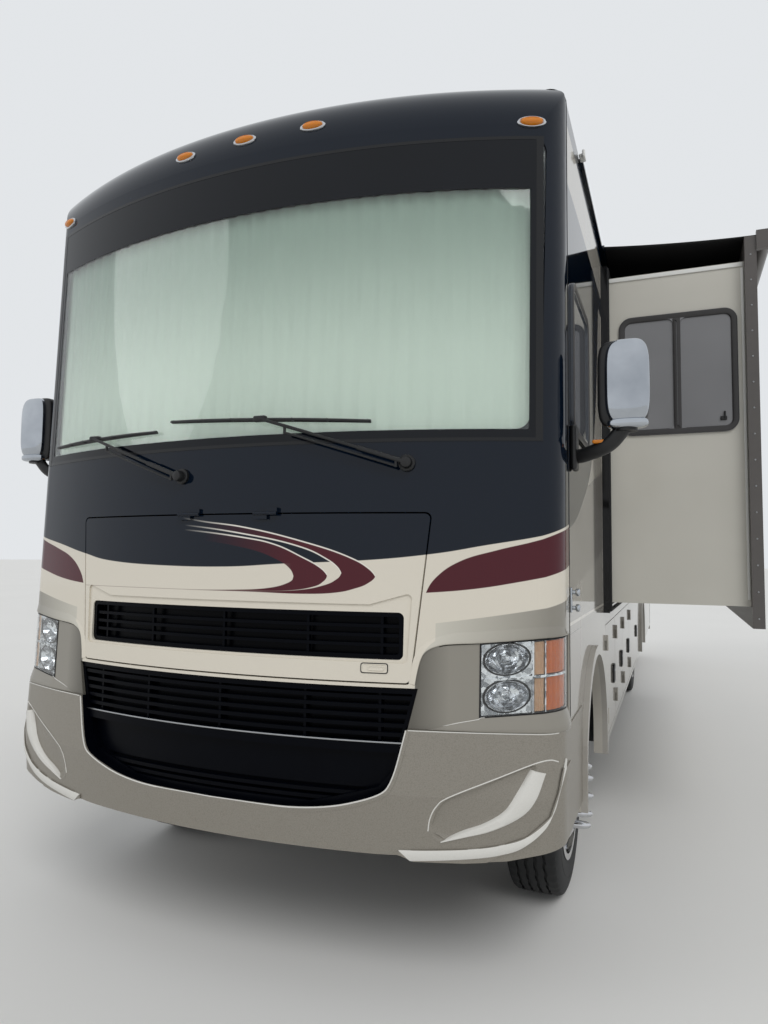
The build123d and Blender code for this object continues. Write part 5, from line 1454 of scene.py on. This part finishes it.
# Marker lamps on the brow and lamps on the tail: chromed bases with ribbed amber domes
marker = {
    "brow": [(-1.170, 3.285), (-0.315, 3.352), (0.0, 3.352), (0.315, 3.352), (1.170, 3.285)],
    "browZ": 3.260, "browRadius": 0.300,
    "browBase": (0.112, 0.046), "browDome": (0.088, 0.032),
    "baseProfile": [(1.0, -0.004), (1.0, 0.004), (0.95, 0.0075), (0.86, 0.0080), (0.80, 0.0060),
                    (0.0, 0.0060)],
    "domeProfile": [(1.0, 0.004), (0.99, 0.010), (0.90, 0.0155), (0.70, 0.0190), (0.66, 0.0182),
                    (0.50, 0.0205), (0.46, 0.0197), (0.25, 0.0210), (0.0, 0.0213)],
    "tailXs": (-1.080, 1.080), "tailZs": (1.500, 1.680, 1.860), "tailIn": 26 * mm,
    "tailBase": (0.144, 0.144), "tailDome": (0.120, 0.120),
    # ribs of the tail domes: how many, share from one to the next, and how much higher each one is
    "ribs": 7, "ribStep": 0.12, "ribRise": 0.0003, "rib": [(0.92, 0.0215), (0.87, 0.0235)],
    "tailRim": [(1.0, 0.008), (0.98, 0.018)], "tailTop": (0.0, 0.0255),
    "tailProfile": [(1.0, 0.0005), (1.0, 0.010), (0.96, 0.014), (0.88, 0.014), (0.85, 0.010), (0.0, 0.008)],
}


def makeMarkers():
    chrome, amber = [], []
    for x, z in marker["brow"]:
        rise = math.asin((z - marker["browZ"]) / marker["browRadius"])
        radius = bow["radius"] - marker["browRadius"] * (1 - math.cos(rise))
        turn = math.asin(x / radius)
        middle = at(x, noseY(marker["browZ"]) + bow["radius"] - radius * math.cos(turn), z)
        across = Vector((math.cos(turn), math.sin(turn), 0))
        out = Vector((math.sin(turn) * math.cos(rise), -math.cos(turn) * math.cos(rise), math.sin(rise)))
        up = out.cross(across)
        axes = (across, up if up.z > 0 else -up, out)
        chrome.append(dish(middle, axes, marker["browBase"], marker["baseProfile"]))
        amber.append(dish(middle, axes, marker["browDome"], marker["domeProfile"]))
    ribbed = list(marker["tailRim"])
    for k in range(marker["ribs"]):
        ribbed += [(t - marker["ribStep"] * k, out + marker["ribRise"] * k) for t, out in marker["rib"]]
    ribbed.append(marker["tailTop"])
    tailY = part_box("marker_lamps")[1].y - marker["tailIn"]
    axes = (Vector((-1, 0, 0)), Vector((0, 0, 1)), Vector((0, 1, 0)))
    for x in marker["tailXs"]:
        for z in marker["tailZs"]:
            middle = Vector((middleX + x, tailY, z))
            chrome.append(dish(middle, axes, marker["tailBase"], marker["tailProfile"]))
            amber.append(dish(middle, axes, marker["tailDome"], ribbed))
    base = addPiece("lampBases", chrome, "house", "lamp_lens", "chrome_wheel", 30)
    addPiece("lampDomes", amber, "house", "amber_lens", crease=30)
    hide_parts("marker_lamps")


# Wipers: a cap over each spindle, a cranked arm with a second rod under it, a sprung blade
wiper = {
    # pivot as x and z, tip as x and z, the blade's two ends, and its lean
    "rows": [((0.736, 1.952), (0.160, 2.136), (-0.290, 0.600), -0.050),
             ((-0.222, 1.925), (-0.740, 2.118), (-1.095, -0.370), 0.010)],
    "cap": (0.064, 0.064),
    "capProfile": [(1.0, -0.002), (1.0, 0.012), (0.90, 0.016), (0.72, 0.017), (0.70, 0.036), (0.60, 0.044),
                   (0.35, 0.047), (0.0, 0.048)],
    "armFrom": 0.034, "armTo": 0.046, "armBow": 0.012, "armThick": 0.0105, "armThin": 0.0065,
    "rodDrop": 0.026, "rod": 0.0045, "link": 0.006,
    "spring": 0.034, "springDrop": 0.018, "springThick": 0.0060,
    "bridges": (-0.97, -0.62, -0.3, 0.3, 0.62, 0.97), "rubberOut": 0.011, "rubberThick": 0.0042,
    "blockOut": 0.036, "block": (0.056, 0.026, 0.024), "blockBevel": 0.007,
}


def makeWipers():
    shells = []
    for pivot, tip, (b0, b1), lean in wiper["rows"]:
        foot = onCap(*pivot, 0.0)
        away = (onCap(*pivot, 0.1) - foot).normalized()
        across = away.cross(Vector((0, 0, 1))).normalized()
        shells.append(dish(foot, (across, across.cross(away), away), wiper["cap"], wiper["capProfile"], 28))
        start, end = onCap(*pivot, wiper["armFrom"]), onCap(*tip, wiper["armTo"])
        path = [start.lerp(end, t) + away * (wiper["armBow"] * math.sin(math.pi * t))
                for t in steps(0, 1, 16)]
        shells.append(tube(path[:6], wiper["armThick"], 10, squash=0.8))
        shells.append(tube(path[4:], wiper["armThin"], 8))
        low = Vector((0.0, 0.0, -wiper["rodDrop"]))
        shells.append(tube([p + low for p in path[1:14]], wiper["rod"], 8))
        for k in (1, 13):
            shells.append(tube([path[k] + low * 1.15, path[k] - low * 0.2], wiper["link"], 8))

        def onBlade(u, out, drop=0.0, tip=tip, lean=lean):
            return onCap(u, tip[1] + lean * (u - tip[0]) - drop, out)

        def half(u, tip=tip, b0=b0, b1=b1):
            return b1 - tip[0] if u > tip[0] else tip[0] - b0

        def bend(u, tip=tip, half=half):
            return wiper["spring"] - wiper["springDrop"] * ((u - tip[0]) / half(u)) ** 2

        span = steps(b0, b1, 28)
        thick = wiper["springThick"]
        shells.append(tube([onBlade(u, bend(u) - 0.001) for u in span], thick, 8, squash=0.7))
        rubber = [onBlade(u, wiper["rubberOut"], 0.001) for u in span]
        shells.append(tube(rubber, wiper["rubberThick"], 8, squash=2.0))
        for t in wiper["bridges"]:
            u = tip[0] + t * (b1 - tip[0] if t > 0 else tip[0] - b0)
            shells.append(tube([onBlade(u, 0.010), onBlade(u, bend(u))], thick, 8))
        shells.append(puffBox(onCap(*tip, wiper["blockOut"]), wiper["block"], wiper["blockBevel"]))
    piece = addPiece("wiperSet", shells, "house", "black_trim")
    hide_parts("wipers")


# Latches and locks of the bay doors: a frame with a dished paddle, and a round lock above it
latch = {
    "back": 0.140, "z": 0.870, "wide": 0.108, "high": 0.118, "proud": 0.006, "corner": 0.022,
    "frame": [(0, 0), (0, 0.009), (0.003, 0.0115), (0.012, 0.0115), (0.017, 0.0065), (0.017, 0)],
    "paddle": (0.074, 0.084, 0.012),
    "paddleSection": [(1.0, 0.0), (1.0, 0.004), (0.94, 0.0062), (0.5, 0.0045), (0.0, 0.004)],
    "lockUp": 0.022, "lockWide": 0.020,
    "lock": [(1.0, 0.004), (0.95, 0.0085), (0.5, 0.0090), (0.3, 0.0070), (0.0, 0.0070)],
}
# The entry door's handle and lock, from the middle of the handle's frame
handle = {
    "proud": 0.014, "back": 0.075, "z": 1.490, "sunk": 0.010, "wide": 0.092, "high": 0.164, "corner": 0.020,
    "frame": [(0, 0), (0, 0.012), (0.003, 0.0145), (0.012, 0.0145), (0.016, 0.010), (0.016, 0)],
    "lever": (-0.004, 0, -0.012), "leverSize": (0.014, 0.048, 0.096),
    "lockUp": 0.056, "lockWide": 0.026,
    "lock": [(1.0, 0.000), (0.95, 0.0065), (0.5, 0.0070), (0.3, 0.0050), (0.0, 0.0050)],
}
# The hatch's paddle in its seal
paddle = {
    "z": 1.1955, "corner": 0.007,
    "plates": [(0.634, 0.094, 0.031, 0.0022), (0.640, 0.060, 0.017, 0.0030)],      # x, wide, high, out
    "sealX": 0.634, "seal": (0.101, 0.038, 0.009),
    "sealSection": [(0.0, -0.001), (0.0, 0.0016), (0.0034, 0.0016), (0.0034, -0.001)],
}


def lockOf(middle, row, side):
    size = (row["lockWide"], row["lockWide"])
    return dish(middle + Vector((0, 0, row["lockUp"])), facingSide(side), size, row["lock"], 20)


def makeLatches():
    rows = [(f"bay_door_left_{n + 1}", f"bay_left_{n + 1}", 1) for n in range(4)]
    rows += [(f"bay_door_right_{n + 1}", f"bay_right_{n + 1}", -1) for n in range(2)]
    loop = roundedLoop(*latch["paddle"])
    for node, body, side in rows:
        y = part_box(node)[1].y - latch["back"]
        middle = Vector((middleX + side * (halfWidth + latch["proud"]), y, latch["z"]))
        seat = middle - Vector((side * latch["proud"], 0, 0))
        rings = [[middle + Vector((side * deep, u * scale, v * scale)) for u, v in loop]
                 for scale, deep in latch["paddleSection"]]
        facing = "+x" if side > 0 else "-x"
        shells = [frameRing(seat, latch["wide"], latch["high"], latch["corner"], latch["frame"], facing),
                  skin(rings, ends=False)]
        addPiece("latch_" + node, shells, body, "black_trim")
        addPiece("lock_" + node, [lockOf(middle, latch, side)], body, "mirror_housing", crease=25)


def makeEntryHandle():
    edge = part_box("entry_door")[1].y
    middle = Vector((middleX - halfWidth - handle["proud"], edge - handle["back"], handle["z"]))
    seat = middle + Vector((handle["sunk"], 0, 0))
    shells = [frameRing(seat, handle["wide"], handle["high"], handle["corner"], handle["frame"], "-x"),
              puffBox(middle + Vector(handle["lever"]), handle["leverSize"], 0.006)]
    addPiece("entryHandle", shells, "entry", "black_trim")
    addPiece("entryLock", [lockOf(middle, handle, -1)], "entry", "mirror_housing", crease=25)


def makeHatchPaddle():
    wide, high, corner = paddle["seal"]
    rings = []
    for inset, rise in paddle["sealSection"]:
        loop = roundedLoop(wide - 2 * inset, high - 2 * inset, corner - inset, 4)
        rings.append([onCap(paddle["sealX"] + u, paddle["z"] + v, rise) for u, v in loop])
    addPiece("paddleSeal", [skin(rings, loop=True)], "hatch", "black_trim", "sealRubber", 20)
    shells = []
    for x, wide, high, out in paddle["plates"]:
        loop = roundedLoop(wide, high, paddle["corner"], 4)
        rings = []
        for inset, rise in ((0.0, -0.001), (0.0, out), (0.0022, out + 0.0006), (0.0044, out - 0.0014)):
            shrinkWide, shrinkHigh = 1 - 2 * inset / wide, 1 - 2 * inset / high
            rings.append([onCap(x + u * shrinkWide, paddle["z"] + v * shrinkHigh, rise) for u, v in loop])
        shells.append(skin(rings))
    addPiece("hatchPaddle", shells, "hatch", "painted_hatch", crease=20)


# Seams where the caps meet the walls, the clips on the front one, and drip spouts at the gutter
seam = {
    "eave": 3.500, "top": 3.560, "corner": 0.080, "radius": 0.0022, "sunk": -0.0004,
    "rings": [(0.030, 0.985), (10.000, 0.560)],      # y, and the height where it starts
    "clip": (0.004, 0.048, 1.444), "clipSize": (0.010, 0.026, 0.096),
    "buttons": (-0.030, 0.030), "buttonWide": 0.030,
    "button": [(0.55, 0.006), (0.55, 0.020), (0.90, 0.022), (1.0, 0.027), (0.96, 0.034), (0.70, 0.038),
               (0.0, 0.039)],
    # out, y, z and size
    "spouts": [((0.016, 0.446, 3.421), (0.026, 0.060, 0.012)),
               ((0.0245, 0.416, 3.421), (0.012, 0.030, 0.030))],
}


def houseRing(y, start):
    # down one side, over the roof and down the other at a given y
    eave, corner, out = seam["eave"], seam["corner"], seam["sunk"]
    span = halfWidth - corner
    line = [(halfWidth + out, z) for z in steps(start, eave - corner, 20)]
    for n in range(1, 9):
        a = math.radians(90 * n / 8)
        line.append((span + (corner + out) * math.cos(a), eave - corner + (corner + out) * math.sin(a)))
    side = [(-x, z) for x, z in reversed(line[:28])]
    rise = seam["top"] - eave
    radius = (span ** 2 + rise ** 2) / (2 * rise)
    for x in steps(span, -span, 40)[1:-1]:
        line.append((x, seam["top"] - radius + math.sqrt(radius ** 2 - x ** 2) + out))
    return [at(x, y, z) for x, z in line + side]


def makeSeams():
    shells = [tube(houseRing(*row), seam["radius"], 8) for row in seam["rings"]]
    addPiece("bodySeams", shells, "house", "black_trim", "sealRubber")
    clips, spouts = [], []
    out, y, z = seam["clip"]
    for side in (1, -1):
        clips.append(puffBox(at(side * (halfWidth + out), y, z), seam["clipSize"], 0.004))
        for rise in seam["buttons"]:
            clips.append(dish(at(side * halfWidth, y, z + rise), facingSide(side),
                              (seam["buttonWide"], seam["buttonWide"]), seam["button"], 20))
        for (proud, along, up), size in seam["spouts"]:
            spouts.append(puffBox(at(side * (halfWidth + proud), along, up), size, 0.004))
    addPiece("seamClips", clips, "house", "mirror_housing")
    addPiece("dripSpouts", spouts, "house", "white_plastic")


# Slide-out room: bulb seal round its hole, bright strips on its two ends, screws down the flange
slideTrim = {
    "sealOut": 0.038, "sealPast": 0.102, "sealCorner": 0.010,
    "seal": [(0, -0.001), (0, 0.004), (0.003, 0.009), (0.009, 0.011), (0.016, 0.009), (0.019, 0.004),
             (0.019, -0.001)],
    "stripFrom": 0.044, "stripTo": 0.004, "stripDown": 0.016, "stripOut": 0.0035, "strip": (0.007, 0.024),
    "postIn": 0.006, "postOut": 0.0030, "post": (0.014, 0.006), "postShort": 0.070,
    "screwOut": 0.029, "screwPast": 0.062, "screwZ": (1.300, 3.260), "screws": 14, "screwWide": 0.010,
    "screw": [(1.0, 0.0), (0.85, 0.0018), (0.45, 0.0026), (0.40, 0.0012), (0.0, 0.0012)],
}


def makeSlideTrim():
    low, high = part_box("slide_room")
    middle = Vector((middleX + halfWidth + slideTrim["sealOut"], (low.y + high.y) / 2, (low.z + high.z) / 2))
    bulb = frameRing(middle, high.y - low.y + slideTrim["sealPast"], high.z - low.z + slideTrim["sealPast"],
                     slideTrim["sealCorner"], slideTrim["seal"], "+x")
    addPiece("slideSeal", [bulb], "house", "black_trim", "sealRubber")
    strips, screws = [], []
    x0, x1 = middleX + halfWidth + slideTrim["stripFrom"], high.x - slideTrim["stripTo"]
    for y, turn in ((low.y, -1), (high.y, 1)):
        under = Vector(((x0 + x1) / 2, y + turn * slideTrim["stripOut"], high.z - slideTrim["stripDown"]))
        strips.append(puffBox(under, (x1 - x0, *slideTrim["strip"]), 0.003))
        corner = Vector((x1 - slideTrim["postIn"], y + turn * slideTrim["postOut"], middle.z))
        strips.append(puffBox(corner, (*slideTrim["post"], high.z - low.z - slideTrim["postShort"]), 0.0025))
        axes = (Vector((1, 0, 0)), Vector((0, 0, 1)), Vector((0, turn, 0)))
        for z in steps(*slideTrim["screwZ"], slideTrim["screws"]):
            foot = Vector((high.x + slideTrim["screwOut"], y + turn * slideTrim["screwPast"], z))
            screws.append(dish(foot, axes, (slideTrim["screwWide"],) * 2, slideTrim["screw"], 12))
    addPiece("slideStrips", strips, "slide_out", "white_plastic")
    addPiece("flangeScrews", screws, "slide_out", "bare_aluminium", "zinc")


# Louvres in the air conditioners' shrouds, and the lids of the roof vents
roof = {
    "units": (2.600, 7.300), "foot": 3.520, "lean": math.tan(math.radians(6)), "pitch": 0.032,
    # count, lowest z, reach from the unit's middle, size
    "ends": (7, 3.600, 0.525, (0.480, 0.006, 0.014)), "sides": (5, 3.610, 0.390, (0.006, 0.560, 0.014)),
    "lids": [(0.0, 1.350), (0.0, 4.700), (-0.450, 6.000), (0.450, 9.000)],
    "lidZ": 3.634, "lidSize": (0.388, 0.388, 0.022),
}


def makeRoofDetail():
    louvres = []
    for y in roof["units"]:
        for part, across, along in (("ends", 0, 1), ("sides", 1, 0)):
            count, low, width, size = roof[part]
            for turn in (-1, 1):
                for k in range(count):
                    z = low + roof["pitch"] * k
                    reach = turn * (width - (z - roof["foot"]) * roof["lean"] + 0.001)
                    louvres.append(puffBox(at(across * reach, y + along * reach, z), size, 0.0028, 2))
    addPiece("shroudLouvres", louvres, "house", "black_trim")
    lids = [puffBox(at(x, y, roof["lidZ"]), roof["lidSize"], 0.010) for x, y in roof["lids"]]
    addPiece("ventLids", lids, "house", "white_plastic")


for make in (makeTopper, makeShade, makeFrit, makeHeadlamps, makeCheeks, makeBrightwork, makeScoops,
             makeGrilleOpening, makeMarkers, makeWipers, makeLatches, makeEntryHandle, makeHatchPaddle,
             makeSeams, makeSlideTrim, makeRoofDetail, makeTyres, makeWheelTrim, makeMirrors,
             makeWindowFrames):
    make()
print("pieces made")


print("done")
